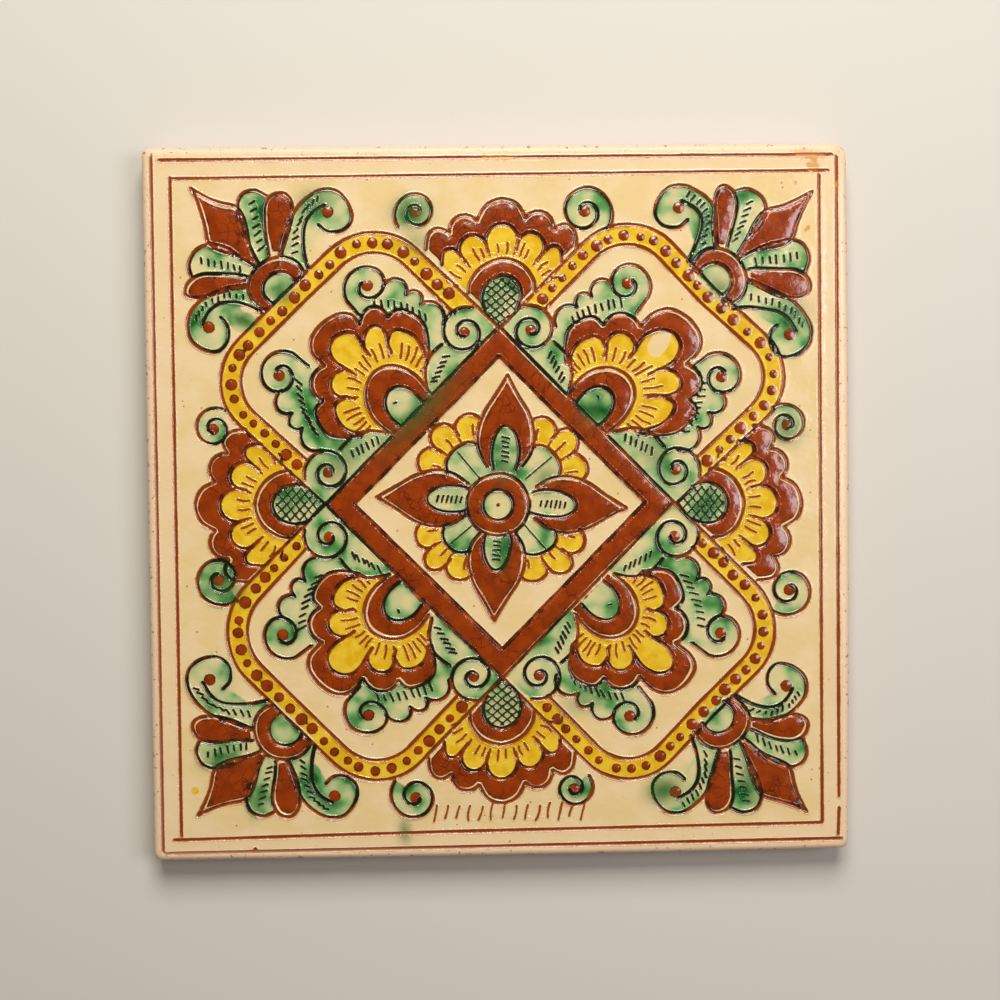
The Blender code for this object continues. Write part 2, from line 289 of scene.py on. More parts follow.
FEATHER_DRIFTS = (
    (36.2, 61.7, 0.5, -0.7), (24, 60, 0.5, -0.7), (61.7, 36.2, 1.4, -1.5), (58, 24, 1.2, -1.3),
    (-36.2, 61.7, -0.8, -1.3), (-25, 60, 0.0, 0.8), (-61.7, 36.2, 0.1, 0.4), (-58, 24, -0.8, -0.3),
    (-61.7, -36.2, -0.4, 0.7), (-52, -39, -0.5, -1.7), (-58, -24, -0.4, 0.7), (-41, -62, -3.0, 3.0),
    (-36.2, -61.7, -1.8, 3.0), (-24, -57, 0.4, -0.1), (61.7, -36.2, 0.9, -0.8), (52, -39, 0.8, -1.9),
    (62, -41, 0.9, -1.8), (58, -24, 0.8, -0.6), (42, -62, 1.4, 1.4), (36.2, -61.7, -0.3, 1.5),
    (24, -59, -0.3, 1.3),
)
LEAF_DRIFTS = (
    (9, 49.2, 0.0, -0.8), (49.2, 9, 1.0, 0.0), (-9, 49.2, -0.7, -1.3), (-49.2, 9, 0.6, 0.0),
    (49.2, -9, 0.4, -0.7), (9, -49.2, 1.4, 0.6),
)
FLEURON_DRIFTS = (
    (88, 88, 1.6, -1.6), (49, 82, 2.3, 0.0), (88.4, 64.3, 0.9, -3.4), (86.1, 74.8, 1.1, -2.4),
    (82, 49, 0.5, -2.2), (84, 58, 0.7, -3.3), (63, 63, -0.4, 0.2), (68, 68, -0.2, -0.7),
    (-88, 88, 2.0, 0.8), (-61.5, 86.9, 2.6, -1.3), (-74.8, 86.1, 2.5, 1.0), (-50, 84, 0.9, -0.3),
    (-46, 78, 1.8, -0.4), (-88.4, 64.3, -0.4, -3.7), (-86.1, 74.8, 1.5, -3.2), (-84, 50, 0.8, 1.2),
    (-82, 46, 0.7, 0.3), (-75, 50, -0.2, 1.2), (-63, 64, 0.4, -1.3), (-67, 70, 1.3, -2.1),
    (-88, -88, 0.6, 0.9), (-79, -50, -0.6, 0.5), (-87, -50, -1.5, 0.5), (-86.1, -74.8, 0.2, 1.7),
    (-88.4, -64.3, -0.1, 1.1), (-64.3, -88.4, 1.6, 0.1), (-74.8, -86.1, 2.3, -0.3), (-57, -82, 2.0, 0.0),
    (-48, -82, 0.6, 0.0), (-63, -63, 0.1, -1.0), (88, -88, -0.9, -0.7), (84, -44, -1.3, -4.2),
    (76, -50, -0.4, -3.3), (86.1, -74.8, 0.0, -0.7), (88.4, -64.3, -0.4, -1.0), (64.3, -88.4, -2.4, -0.5),
    (74.8, -86.1, -1.2, -1.5), (49, -82, 0.3, -0.2), (63, -63, -0.2, 1.0),
)
SIDE_DRIFTS = (
    (12, 80, 1.0, 1.0), (-12, 80, 1.3, 0.0), (-84, 0, -2.0, 0.0), (84, 0, 1.2, 0.0), (80, 12, 1.3, -0.5),
    (80, -12, 2.8, -1.5), (-12, -80, 0.3, -0.8), (12, -80, -0.8, 0.0),
)
ROSETTE_DRIFTS = (
    (1, 35, 1.5, 0.4), (35, -1, 1.0, -0.6), (-1, -35, -0.6, 1.8), (-35, 1, 0.4, 0.4),
)

# The free spirals: centre, size against the scheme's, the side their axis points to, and the way they turn.
SPIRALS = (
    ((24.7, 81.3), 0.95, 90, 1), ((-23.0, 81.5), 0.75, 90, -1),
    ((-80.8, 21.8), 0.72, 180, 1), ((-80.0, -20.4), 0.90, 180, -1),
    ((-25.3, -82.7), 0.85, 270, 1), ((20.2, -81.0), 0.68, 270, -1),
    ((82.3, -25.5), 0.87, 0, 1), ((81.7, 21.3), 0.72, 0, -1),
)

# Where copper green ran or pooled: the place across and up, the spot's half length, half width and turn,
# and how deep it is.
SPILLS = (
    (-71.9, 51.7, 2.3, 1.2, -25, 1.0), (-23.0, 73.0, 3.4, 2.6, 0, 0.30), (46.0, -82.0, 3.0, 2.2, 20, 0.9),
    (26.5, 25.0, 2.8, 2.2, 45, 0.8), (-22.0, 25.4, 9.5, 2.1, 45, 1.0), (-28.3, -92.5, 1.2, 2.4, 0, 0.55),
    (58.0, 81.0, 3.4, 2.4, -30, 0.30), (-52.0, 84.0, 3.0, 2.6, 20, 0.55), (84.0, 52.0, 3.2, 3.0, 0, 0.45),
    (24.0, -56.0, 5.0, 2.2, 20, 0.35), (-45.0, 12.0, 4.5, 2.4, 50, 0.45), (44.0, 13.0, 4.0, 2.4, -50, 0.40),
    (0.6, 9.2, 1.6, 3.0, 0, 0.7), (0.2, -15.0, 1.8, 3.6, 0, 0.45), (13.0, 7.0, 2.6, 2.2, 45, 0.45),
    (-69.8, -84.0, 1.4, 2.8, -20, 0.50), (-80.2, -71.2, 3.6, 1.4, 12, 0.55),
    (70.5, -79.5, 1.4, 4.0, 12, 0.60), (-61.0, 59.0, 2.2, 1.8, 0, 0.55), (63.0, 59.5, 1.8, 2.2, 45, 0.5),
    (-24.6, 81.0, 3.0, 2.6, 0, 0.95), (-78.0, -23.0, 3.2, 2.4, -30, 0.6), (82.0, 20.0, 3.0, 3.0, 0, 0.55),
    (-1.0, 57.5, 3.6, 3.0, 0, 0.35), (0.0, -58.0, 3.8, 3.0, 0, 0.30), (60.0, 0.0, 3.6, 3.0, 0, 0.30),
    (-60.0, 1.0, 3.4, 3.0, 0, 0.30),
)

# Rust-coloured stains of thin slip, given the same way, and the painted shade of a crease.
STAINS_AND_CREASE_SHADE = (
    (88.0, 97.0, 3.8, 1.3, -8, 1.0), (89.5, 93.6, 1.6, 1.6, 0, 0.9), (84.7, 88.9, 0.6, 0.5, 0, 1.0),
    (88.0, 76.3, 0.9, 0.6, 30, 1.0), (0.0, 96.6, 4.5, 0.7, 0, 0.9), (-34.0, 97.2, 2.2, 0.5, 0, 0.7),
    # The last on the next line, by the knocked corner, is the dent's crease: partly painted shade.
    (66.8, 62.0, 0.5, 0.7, 0, 1.0), (-86.0, -99.4, 9.0, 0.5, 0, 0.9), (96.7, 98.8, 0.4, 1.3, 25, 0.8),
    (96.5, 88.0, 0.6, 1.6, 0, 0.8), (-60.0, -98.4, 1.6, 0.5, 0, 0.8),
)

# A drop of yellow that fell beside the lower left spray.
YELLOW_DROP = (-88.3, -80.2)

# The pool of green between the upper left scroll and the band.
POOL = ((-76.7, 52.7), (-72.9, 54.4), (-68.9, 52.4), (-71.2, 49.2), (-74.6, 49.6))

# Where the yellow missed a petal's tip.
BARE_TIP = (
    (42.4, 43.6), (44.2, 46.9), (47.1, 48.3), (49.2, 47.1),
    (48.9, 44.8), (47.2, 42.0), (45.1, 40.2), (43.0, 41.5),
)

QUARTERS = (45, 135, 225, 315)
SIDES = (0, 90, 180, 270)

# How the short marks lean on the tile, in degrees: for each quarter, on the two sides of its diagonal.
FEATHER_LEANS = {45: (103, 12), 135: (142, 95), 225: (112, 25), 315: (165, 113)}
SCROLL_LEANS = {45: ((25, 58), 85), 135: (92, (10, 78)), 225: ((140, 172), (103, 165)), 315: ((50, 108), 125)}
LEAF_LEANS = {45: (30, 98), 135: (100, 35), 225: (20, 90), 315: (108, 172)}
CURL_LEANS = {45: (62, 80), 135: (108, 14), 225: (168, 112), 315: (75, 118)}

# How far each colour stays inside the outline it fills, how far all of them slipped towards the middle,
# and how far each area of brown lies off its outline.
INSET = {"brown": 0.64, "yellow": 0.20, "green": 0.0, "cream": 0.30}
SLIPPED = 0.32
ASTRAY = 0.40

# The rosette sits a little off the middle and is turned a little.
ROSETTE_CENTRE = (-0.3, 0.4)
ROSETTE_TURN = -2

# The scheme's main lines, in units from the middle.
LOZENGE = 35.0
LOZENGE_INNER = 29.2
BAND_OUTER = 34.8
BAND_INNER = 29.3
BAND_END = 85.7
BAND_INNER_END = 80.2
BEND = 17.5
INNER_BEND = 12.5
BAND_START = 47.4
APEX = LOZENGE * math.sqrt(2)


def bend_line(start, across, end, radius):
    """Half of a band's edge: out along the arm, round the bend and in to the axis."""
    k = math.sqrt(0.5)
    crown = (end - radius + radius * k, across - radius + radius * k)
    return [(start, across)] + arc((end - radius, across), crown, (end, across - radius), 10) + [(end, 0)]


def dotted_band(face, quarter):
    """A yellow band between two lines, with a row of brown dots, on three sides of a palmette's bay."""
    hand = Hand(face, quarter, BAND_DRIFTS, 12.0)
    outer = bend_line(LOZENGE, BAND_OUTER, BAND_END, BEND)
    inner = bend_line(BAND_START, BAND_INNER, BAND_INNER_END, INNER_BEND)
    hand.both(hand.line, outer, BAND_LINE)
    hand.both(hand.line, inner, BAND_LINE)
    half = [(43.0, BAND_OUTER)] + outer[1:] + inner[::-1]
    hand.paint("yellow", half)
    hand.paint("yellow", flip(half))


def band_dots(face, quarter, pick):
    """The dots of a band, brushed on by eye."""
    hand = Hand(face, quarter, BAND_DRIFTS, 12.0)
    middle = bend_line(45.5, (BAND_OUTER + BAND_INNER) / 2, (BAND_END + BAND_INNER_END) / 2, 15.0)
    path = np.array(middle + flip(middle[-2::-1]))
    run = run_of(path)
    at = 3.4
    while at < run[-1] - 2.6:
        place = place_at(path, run, at) + [pick.uniform(-0.35, 0.35) for _ in (0, 1)]
        hand.dot(place, pick.uniform(1.2, 1.85))
        at += pick.uniform(3.9, 4.9)


def lozenge(face):
    """The brown square frame, on its corner, and the cream ground inside it."""
    hand = Hand(face, 45)
    corners = [(1, 1), (-1, 1), (-1, -1), (1, -1), (1, 1)]
    for reach, colour in ((LOZENGE, "brown"), (LOZENGE_INNER, "cream")):
        square = [(reach * u, reach * v) for u, v in corners]
        hand.paint(colour, square[:-1], 0.35)
        for start, end in zip(square, square[1:]):
            hand.line([start, end], BAND_LINE)


def rays(hand, centre, groups, inner, outer):
    """The veins at the foot of the petals, one group to a petal, a little bent and of uneven length."""
    pick = random.Random(hand.turn + round(outer))
    for first, last, count in groups:
        for i in range(count):
            a = math.radians(first + (last - first) * (i + pick.uniform(-0.08, 0.08)) / max(1, count - 1))
            bend = math.radians(pick.uniform(-1.5, 1.5))
            reach = outer + pick.uniform(-1.0, 0.7)
            turns = ((inner, a), ((inner + reach) / 2, a + bend), (reach, a))
            hand.mark([(centre + r * math.cos(t), r * math.sin(t)) for r, t in turns])


def arched_heart(hand, foot, arch, heart):
    """A brown arch over a green heart, at a flower's foot."""
    hand.paint("brown", [foot] + arch + flip([foot]))
    hand.paint("green", heart)
    hand.line(arch)
    hand.line(heart)


def large_palmette(face, quarter):
    """A half-round flower on the lozenge's side: brown border, yellow petals, brown arch, green heart."""
    hand = Hand(face, quarter, PALMETTE_DRIFTS, 7.5)
    crown = crown_down([(74.6, 0), (73.2, 5), (69, 7.5), (63.3, 7.4)])
    shoulder = arc((63.3, 7.4), (62.8, 13), (56.3, 14.7))
    flank = smooth([(56.3, 14.7), (56, 18), (53, 20), (48.5, 20.6), (45, 18.6), (42, 15.3), (39.5, 11.6),
                    (36.6, 8.6)])
    hand.paint("brown", whole(crown + shoulder + flank))
    petal = crown_down([(68.4, 0), (66.5, 3.3), (62, 4.7), (57, 3.7)])
    side_petal = arc((57, 3.7), (59, 8.9), (52, 9.3))
    last_petal = smooth([(52, 9.3), (53, 12.8), (50.6, 15.2), (46.5, 16), (42.3, 14), (36.6, 8.6)])
    hand.paint("yellow", whole(petal + side_petal + last_petal))
    tails = ([(57, 3.7), (54.3, 3.3)], [(52, 9.3), (49.8, 8.2)])
    for stroke in (crown, shoulder, flank[:22], petal, side_petal, last_petal[:17], *tails):
        hand.both(hand.line, stroke)
    arched_heart(hand, (33.8, 7.9), horseshoe(35.6, 8.5, 15.1), horseshoe(LOZENGE, 4.9, 9.3))
    rays(hand, 42, ((-94, -60, 5), (-43, -22, 3), (-8, 8, 3), (22, 43, 3), (60, 94, 5)), 10.3, 14.3)
    hand.mark([(40.6, 0.6), (41.0, 1.4)])


def marks_along(hand, points, count, length, lean):
    """A row of short strokes along a line. They lean about the same way on the tile, or turn
    from one lean to another."""
    first, last = lean if isinstance(lean, tuple) else (lean, lean)
    pick = random.Random(round(10 * (hand.turn + points[0][0] + 7 * points[0][1])))
    path = np.array(points)
    run = run_of(path)
    for i in range(count):
        at = run[-1] * (i + 0.5 + pick.uniform(-0.10, 0.10)) / count
        middle = place_at(path, run, at)
        way = math.radians(first + (last - first) * i / (count - 1) - hand.turn + pick.uniform(-6, 6))
        reach = length / 2 * pick.uniform(0.75, 1.10) * np.array((math.cos(way), math.sin(way)))
        hand.mark([middle - reach, middle + reach])


def feather_scroll(face, quarter, side):
    """A green half leaf that curls away from the palmette's flank."""
    hand = Hand(face, quarter, FEATHER_DRIFTS, 8.0)
    mirrored = ON_SIDE[side]
    curl = [(65.3, 10.5)] + coil((69.2, 18.0), 7.0, 1.9, -75, 430, 30)
    lobes = [arc((66, 20.7), (63.5, 25), (59.5, 22.9)), arc((59.5, 22.9), (58, 25.6), (54.5, 23.6)),
             arc((54.5, 23.6), (51.8, 26.7), (46.2, 24.2))]
    outline = curl[:16] + sum(lobes, []) + [(43.0, 23.5), (42.8, 16), (48, 18), (58, 12), (64, 9)]
    hand.paint("green", mirrored(outline))
    hand.dot(mirrored([(69.4, 18.2)])[0], 1.7)
    for stroke in (curl, *lobes):
        hand.line(mirrored(stroke))
    row = mirrored([(50.2, 22.2), (56.5, 20.4), (62, 17.6), (64.8, 15.0)])
    marks_along(hand, row, 9, 2.5, FEATHER_LEANS[quarter][side < 0])


def leaf_scroll(face, quarter, side):
    """A green leaf along the lozenge's side that ends in a curl at the corner."""
    hand = Hand(face, quarter, LEAF_DRIFTS, 9.0)
    mirrored = ON_SIDE[side]
    curl = coil((41.2, 28.4), 7.1, 1.2, 62, -554, 34)
    edge = smooth([(36.6, 8.6), (41.2, 12), (43.4, 16.4), (43.3, 21.5)])
    outline = [(LOZENGE, 8.6)] + edge + curl[9::-1] + [(41, LOZENGE), (LOZENGE, LOZENGE)]
    hand.paint("green", mirrored(outline))
    hand.dot(mirrored([(41.2, 28.4)])[0], 1.6)
    for stroke in (curl, edge):
        hand.line(mirrored(stroke))
    marks_along(hand, mirrored([(37.3, 11.2), (40.2, 20.6)]), 6, 2.2, CURL_LEANS[quarter][side < 0])


def corner_fleuron(face, quarter):
    """A spray in the tile's corner: brown spear, green leaves, brown drops and two green scrolls."""
    hand = Hand(face, quarter, FLEURON_DRIFTS, 6.0)
    scroll = smooth([(95, 6.4), (98.6, 11.8), (100.6, 18), (99.3, 25), (95.3, 29.2), (90.5, 29.2),
                     (86.7, 26.6), (86.4, 22.6), (89, 19.4), (92.3, 19)])
    stem = smooth([(85.7, 9.2), (90.6, 11.8), (95, 15.8), (96, 19.8), (94.8, 24.2)])
    leaf = smooth([(102.2, 1.8), (107, 2.7), (111.7, 5.1), (113.4, 8.5), (112, 12), (109, 13.6)])
    drop = smooth([(94.6, 6.9), (97, 10.8), (99.6, 14.8), (102.8, 17.9), (106.3, 18.2), (108.2, 15.2),
                   (107.3, 11.6), (104.3, 8.8), (100.5, 6.4), (97, 4.3)])
    spear = smooth([(97.6, 0.8), (103, 2.2), (108.5, 4.6), (112, 5.1), (116, 3), (120.5, 1.2), (124.5, 0)])
    scroll_area = [(88, 8.0)] + scroll + [(91, 15), (90.6, 11.8), (85.7, 9.2)]
    leaf_area = [(96.8, 0.5)] + leaf + [(107.3, 11.6), (104.3, 8.8), (100.5, 6.4), (97, 4.3)]
    leaf_row = [(99.0, 3.6), (104.5, 6.0), (110.8, 9.6)]
    scroll_row = [(91.5, 9.2), (96.2, 13.6), (98.3, 19.0), (97.2, 25.0)]
    for side, mirrored in enumerate((list, flip)):
        hand.paint("green", mirrored(scroll_area))
        hand.paint("green", mirrored(leaf_area))
        hand.paint("brown", mirrored(drop))
        hand.dot(mirrored([(92.8, 23.4)])[0], 1.75)
        for stroke in (scroll, stem, leaf, drop, spear):
            hand.line(mirrored(stroke))
        marks_along(hand, mirrored(leaf_row), 7, 1.9, LEAF_LEANS[quarter][side])
        marks_along(hand, mirrored(scroll_row), 10, 1.6, SCROLL_LEANS[quarter][side])
    hand.paint("brown", whole(spear[::-1]))
    arched_heart(hand, (84.6, 7.8), horseshoe(BAND_END, 8.4, 11.2), horseshoe(BAND_END, 4.8, 6.9))


def side_palmette(face, side):
    """A flower at the lozenge's corner: brown border, yellow petals, brown arch, hatched green heart."""
    hand = Hand(face, side, SIDE_DRIFTS)
    crown = crown_down([(84.6, 0), (83, 4.5), (79, 6.9)])
    shoulder = arc((79, 6.9), (80.6, 11.2), (75.7, 14.9))
    flank = smooth([(75.7, 14.9), (77, 18), (75.2, 20.8), (71, 21.5)])
    petal = arc((72.8, -4.7), (77.8, 0), (72.8, 4.7))
    side_petal = arc((72.8, 4.7), (75, 8.5), (68.8, 11.5))
    last_petal = smooth([(68.8, 11.5), (71, 14), (70.3, 16.6), (66.6, 17.1)])
    arch = crown_down([(67.9, 0), (65.9, 5.8), (61.9, 9.0), (58.8, 9.4)])
    heart = crown_down([(63.3, 0), (61.3, 4.3), (57.5, 5.6), (54, 4.5)])
    tip = [(APEX, 0)]
    hand.paint("brown", whole(crown + shoulder + flank) + tip)
    hand.paint("yellow", whole(petal[4:] + side_petal + last_petal) + tip)
    hand.paint("brown", whole(arch) + tip)
    hand.paint("green", whole(heart) + tip)
    hand.line(petal)
    tails = ([(72.8, 4.7), (70.2, 4.0)], [(68.8, 11.5), (67.0, 10.0)])
    for stroke in (crown, shoulder, flank, side_petal, last_petal, arch, heart, *tails):
        hand.both(hand.line, stroke)
    rays(hand, 56, ((-68, -42, 4), (-29, -15, 3), (-5, 5, 2), (15, 29, 3), (42, 68, 4)), 13.4, 16.6)
    for lean, pitch in ((-40, 1.75), (36, 1.85)):
        a = math.radians(lean)
        for i in range(-4, 5):
            hatch(hand, 57.3 + i * pitch / math.cos(a), a)


def hatch(hand, foot, angle):
    """One line of the cross-hatching, clipped to the heart."""
    inside = []
    for i in range(-16, 17):
        u = foot - 0.5 * i * math.sin(angle)
        v = 0.5 * i * math.cos(angle)
        if abs(v) < min(4.7, (u - APEX) * 0.92) and u < 62.4 - 0.16 * v * v * 0.55:
            inside.append((u, v))
    if len(inside) > 3:
        hand.line(inside, FINE)


def free_spirals(face):
    """The small green spirals in the bays between the frames and the border."""
    for centre, size, side, way in SPIRALS:
        hand = Hand(face, side, centre=centre, scale=size)
        turn = coil((0, 0), 8.6, 1.8, -128, 554, 34)
        placed = turn if way > 0 else flip(turn)
        hand.paint("green", placed[:23])
        hand.dot((0.3, 0.2), 1.7)
        hand.line(placed)


def uncovered(lines, outlines):
    """The lines' parts that no pad covers."""
    kept = []
    for points, half, depth in lines:
        even, _ = stations(points, LINE_STEP)
        hidden = np.max([inside_by(even, outline) for outline in outlines], axis=0) > 0.4
        if not hidden.any():
            kept.append((points, half, depth))
            continue
        for part in np.split(np.arange(len(even)), np.nonzero(np.diff(hidden))[0] + 1):
            if len(part) > 2 and not hidden[part[0]]:
                kept.append((even[part], half, depth))
    return kept


def rosette(face):
    """Four brown petals with green leaves, four yellow fans between, and a brown ring with a green eye."""
    fans = Face()
    for quarter in QUARTERS:
        hand = Hand(fans, quarter + ROSETTE_TURN, ROSETTE_DRIFTS, 14.0, ROSETTE_CENTRE)
        crown = arc((24, -3.6), (28.2, 0), (24, 3.6))
        shoulder = arc((24, 3.6), (25.2, 8), (19, 10.3))
        arch = smooth([(11, 5.2), (15, 5.9), (18.6, 4), (19.8, 0), (18.6, -4), (15, -5.9), (11, -5.2)])
        hand.paint("yellow", whole(crown[4:] + shoulder + [(12, 9), (9, 5)]))
        hand.paint("green", arch + [(7, -4), (7, 4)])
        for stroke in (crown, shoulder, flip(shoulder), arch):
            hand.line(stroke)
        hand.both(hand.line, [(24, 3.6), (21.9, 3.3)])
        rays(hand, 10, ((-60, -36, 3), (-14, 14, 3), (36, 60, 3)), 10.6, 13.6)
        hand.line([(9, 0.2), (18.6, -0.2)], FINE)
    face.areas += fans.areas
    petals = []
    for side in SIDES:
        hand = Hand(face, side + ROSETTE_TURN, ROSETTE_DRIFTS, 14.0, ROSETTE_CENTRE)
        edge = smooth([(35.2, 0), (29.5, 3.3), (24, 6.6), (18.5, 8.0), (13.5, 7.2), (9.5, 4.6)])
        leaf = smooth([(8.7, 3.0), (12.5, 3.8), (17, 3.4), (20.1, 1.9), (21, 0), (20.1, -1.9), (17, -3.4),
                       (12.5, -3.8), (8.7, -3.0)])
        hand.paint("brown", whole(edge) + [(7, 0)])
        petals.append(face.areas[-1][1])
        hand.paint("green", leaf)
        hand.both(hand.line, edge)
        hand.line(leaf)
        marks_along(hand, [(10.5, 0), (18.5, 0)], 6, 2.0, side + 78)
    hand = Hand(face, 0, centre=(-0.7, -0.5))
    ring = coil((0, 0), 8.8, 8.8, 10, 360, 28)
    eye = coil((0, 0), 4.3, 4.3, 200, 360, 18)
    face.lines = uncovered(face.lines, [hand.on_tile(ring[:-1])])
    face.lines += uncovered(fans.lines, [*petals, hand.on_tile(ring[:-1])])
    hand.paint("brown", ring[:-1])
    hand.paint("green", eye[:-1])
    hand.line(ring)
    hand.line(eye)
    hand.dot((0.1, 0.2), 0.6)


def rules(face):
    """The two lines ruled along each side of the tile."""
    hand = Hand(face, 0)
    for line in (
        ((-97.2, 99.0), (-97.2, -97.0)), ((-92.0, 91.5), (-92.0, -92.8)),
        ((-95.0, 96.4), (95.0, 96.6)), ((-91.0, 91.2), (94.0, 92.2)),
        ((91.4, 91.0), (91.8, -91.5)), ((96.3, 96.0), (96.6, -84.6)), ((96.6, -87.7), (96.4, -95.5)),
        ((-94.0, -93.9), (-20.0, -93.0), (91.7, -91.9)), ((-96.5, -97.7), (97.6, -96.6)),
        ((-71.0, -96.8), (-70.4, -97.6), (-69.2, -98.3)),
    ):
        hand.line(line, RULE)


def row_of_strokes(face):
    """A row of shallow slanted strokes under the ornament."""
    hand = Hand(face, 0)
    pick = random.Random(11)
    for i in range(14):
        x = -19.5 + 3.25 * i
        lean = pick.uniform(0.5, 1.4)
        high = pick.uniform(-84.8, -85.8)
        low = pick.uniform(-89.0, -90.2)
        bow = pick.uniform(-0.5, 0.5)
        hand.line(arc((x - lean / 2, low), (x + bow + 0.1, (low + high) / 2), (x + lean / 2, high)), MARK)


def decorate():
    """The whole ornament, in the order in which it was painted."""
    face = Face()
    pick = random.Random(7)
    rules(face)
    for quarter in QUARTERS:
        dotted_band(face, quarter)
    for quarter in QUARTERS:
        for side in (1, -1):
            feather_scroll(face, quarter, side)
            leaf_scroll(face, quarter, side)
        large_palmette(face, quarter)
        corner_fleuron(face, quarter)
    Hand(face, 0).paint("cream", BARE_TIP)
    Hand(face, 0).paint("green", smooth(POOL + POOL[:1])[:-1])
    Hand(face, 0).paint("yellow", coil(YELLOW_DROP, 1.2, 1.0, 0, 330, 9), 0.0)
    for side in SIDES:
        side_palmette(face, side)
    free_spirals(face)
    lozenge(face)
    rosette(face)
    for quarter in QUARTERS:
        band_dots(face, quarter, pick)
    row_of_strokes(face)
    return face


def stations(points, step):
    """Points evenly spaced along a line, and the line's sideways direction at each."""
    points = np.asarray(points)
    legs = np.hypot(*np.diff(points, axis=0).T)
    points = points[np.concatenate([[True], legs > 1e-6])]
    run = run_of(points)
    along = np.linspace(0, run[-1], max(2, round(run[-1] / step) + 1))
    even = place_at(points, run, along).T
    ahead = np.gradient(even, axis=0)
    ahead /= np.hypot(*ahead.T)[:, None]
    return even, np.column_stack([-ahead[:, 1], ahead[:, 0]])


class Grooves:
    """All the stylus lines as short straight pieces, sorted into squares so that near ones are found."""

    def __init__(self, lines):
        starts, ends, halves, depths = [], [], [], []
        for points, half, depth in lines:
            even, _ = stations(points, LINE_STEP)
            starts.append(even[:-1])
            ends.append(even[1:])
            halves += [half] * (len(even) - 1)
            depths += [depth] * (len(even) - 1)
        self.start = np.concatenate(starts)
        self.leg = np.concatenate(ends) - self.start
        self.half = np.array(halves)
        self.depth = np.array(depths)
        self.squares = {}
        low = np.floor((np.minimum(self.start, self.start + self.leg) - REACH) / REACH).astype(int)
        high = np.floor((np.maximum(self.start, self.start + self.leg) + REACH) / REACH).astype(int)
        for piece, ((x0, y0), (x1, y1)) in enumerate(zip(low, high)):
            for x in range(x0, x1 + 1):
                for y in range(y0, y1 + 1):
                    self.squares.setdefault((x, y), []).append(piece)

    def measure(self, points):
        """For each point: the distance to the nearest line, that less the line's half width, the carved
        depth and the burr's height."""
        points = np.asarray(points)
        distance = np.full(len(points), REACH)
        clear = np.full(len(points), REACH)
        carved = np.zeros(len(points))
        burr = np.zeros(len(points))
        press = 1 + PRESS * wave(points, 6, 3.3)
        square = np.floor(points / REACH).astype(int)
        order = np.lexsort(square.T)
        breaks = np.nonzero(np.any(np.diff(square[order], axis=0), axis=1))[0] + 1
        for group in np.split(order, breaks):
            pieces = self.squares.get(tuple(square[group[0]]))
            if not pieces:
                continue
            away = distances(points[group], self.start[pieces], self.leg[pieces])
            depth = self.depth[pieces]
            half = self.half[pieces] * press[group][:, None]
            distance[group] = np.minimum(away.min(1), REACH)
            clear[group] = np.minimum((away - half).min(1), REACH)
            carved[group] = (depth * np.clip((1 - away / half) / WALL, 0, 1)).max(1)
            heavy = np.where(depth > MARK[1], depth, 0)
            burr[group] = (heavy * np.exp(-(((away - half - BURR_OUT) / BURR_WIDTH) ** 2))).max(1)
        return distance, clear, carved, burr * BURR


def inside_by(points, outline):
    """How far inside a closed outline each point lies; negative outside."""
    start = np.asarray(outline)
    leg = np.roll(start, -1, axis=0) - start
    away = distances(points, start, leg).min(1)
    end = start + leg
    x, y = points[:, 0:1], points[:, 1:2]
    crosses = (start[:, 1] > y) != (end[:, 1] > y)
    rise = np.where(leg[:, 1] == 0, 1.0, leg[:, 1])
    beyond = x < start[:, 0] + (y - start[:, 1]) * leg[:, 0] / rise
    return np.where((crosses & beyond).sum(1) % 2 == 1, away, -away)


def colours_at(face, points):
    """For each colour and each point, how far inside that colour it lies, in millimetres."""
    layers = {colour: np.full(len(points), -REACH) for colour in ("brown", "yellow", "green")}
    stray = wave(points, 8, 6.5)
    slipped = points + SLIPPED * points / np.sqrt((points ** 2).sum(1) + 400)[:, None]
    for colour, outline, inset in face.areas:
        low, high = outline.min(0) - REACH, outline.max(0) + REACH
        near = np.nonzero(np.all((points > low) & (points < high), axis=1))[0]
        depth = inside_by(slipped[near], outline)
        inset = inset * (1 + 0.6 * stray[near])
        for name, layer in layers.items():
            if name == colour:
                layer[near] = np.maximum(layer[near], np.minimum(depth - inset, REACH))
            else:
                layer[near] = np.minimum(layer[near], -depth - 0.1)
    for (x, y), radius in face.dots:
        near = np.nonzero(np.abs(points - (x, y)).max(1) < radius + REACH)[0]
        depth = radius - np.hypot(*(points[near] - (x, y)).T)
        layers["brown"][near] = np.maximum(layers["brown"][near], depth)
    return layers


def spots_at(points, spots):
    """How deep a spot of glaze lies at each point, soft at its border, 0 to 1."""
    deepest = np.zeros(len(points))
    for x, y, length, width, turn, strength in spots:
        off = points - np.array((x, y)) * UNIT
        c, s = math.cos(math.radians(turn)), math.sin(math.radians(turn))
        along = (off[:, 0] * c + off[:, 1] * s) / length
        across = (off[:, 1] * c - off[:, 0] * s) / width
        deepest = np.maximum(deepest, strength * np.exp(-0.5 * (along ** 2 + across ** 2)))
    return deepest


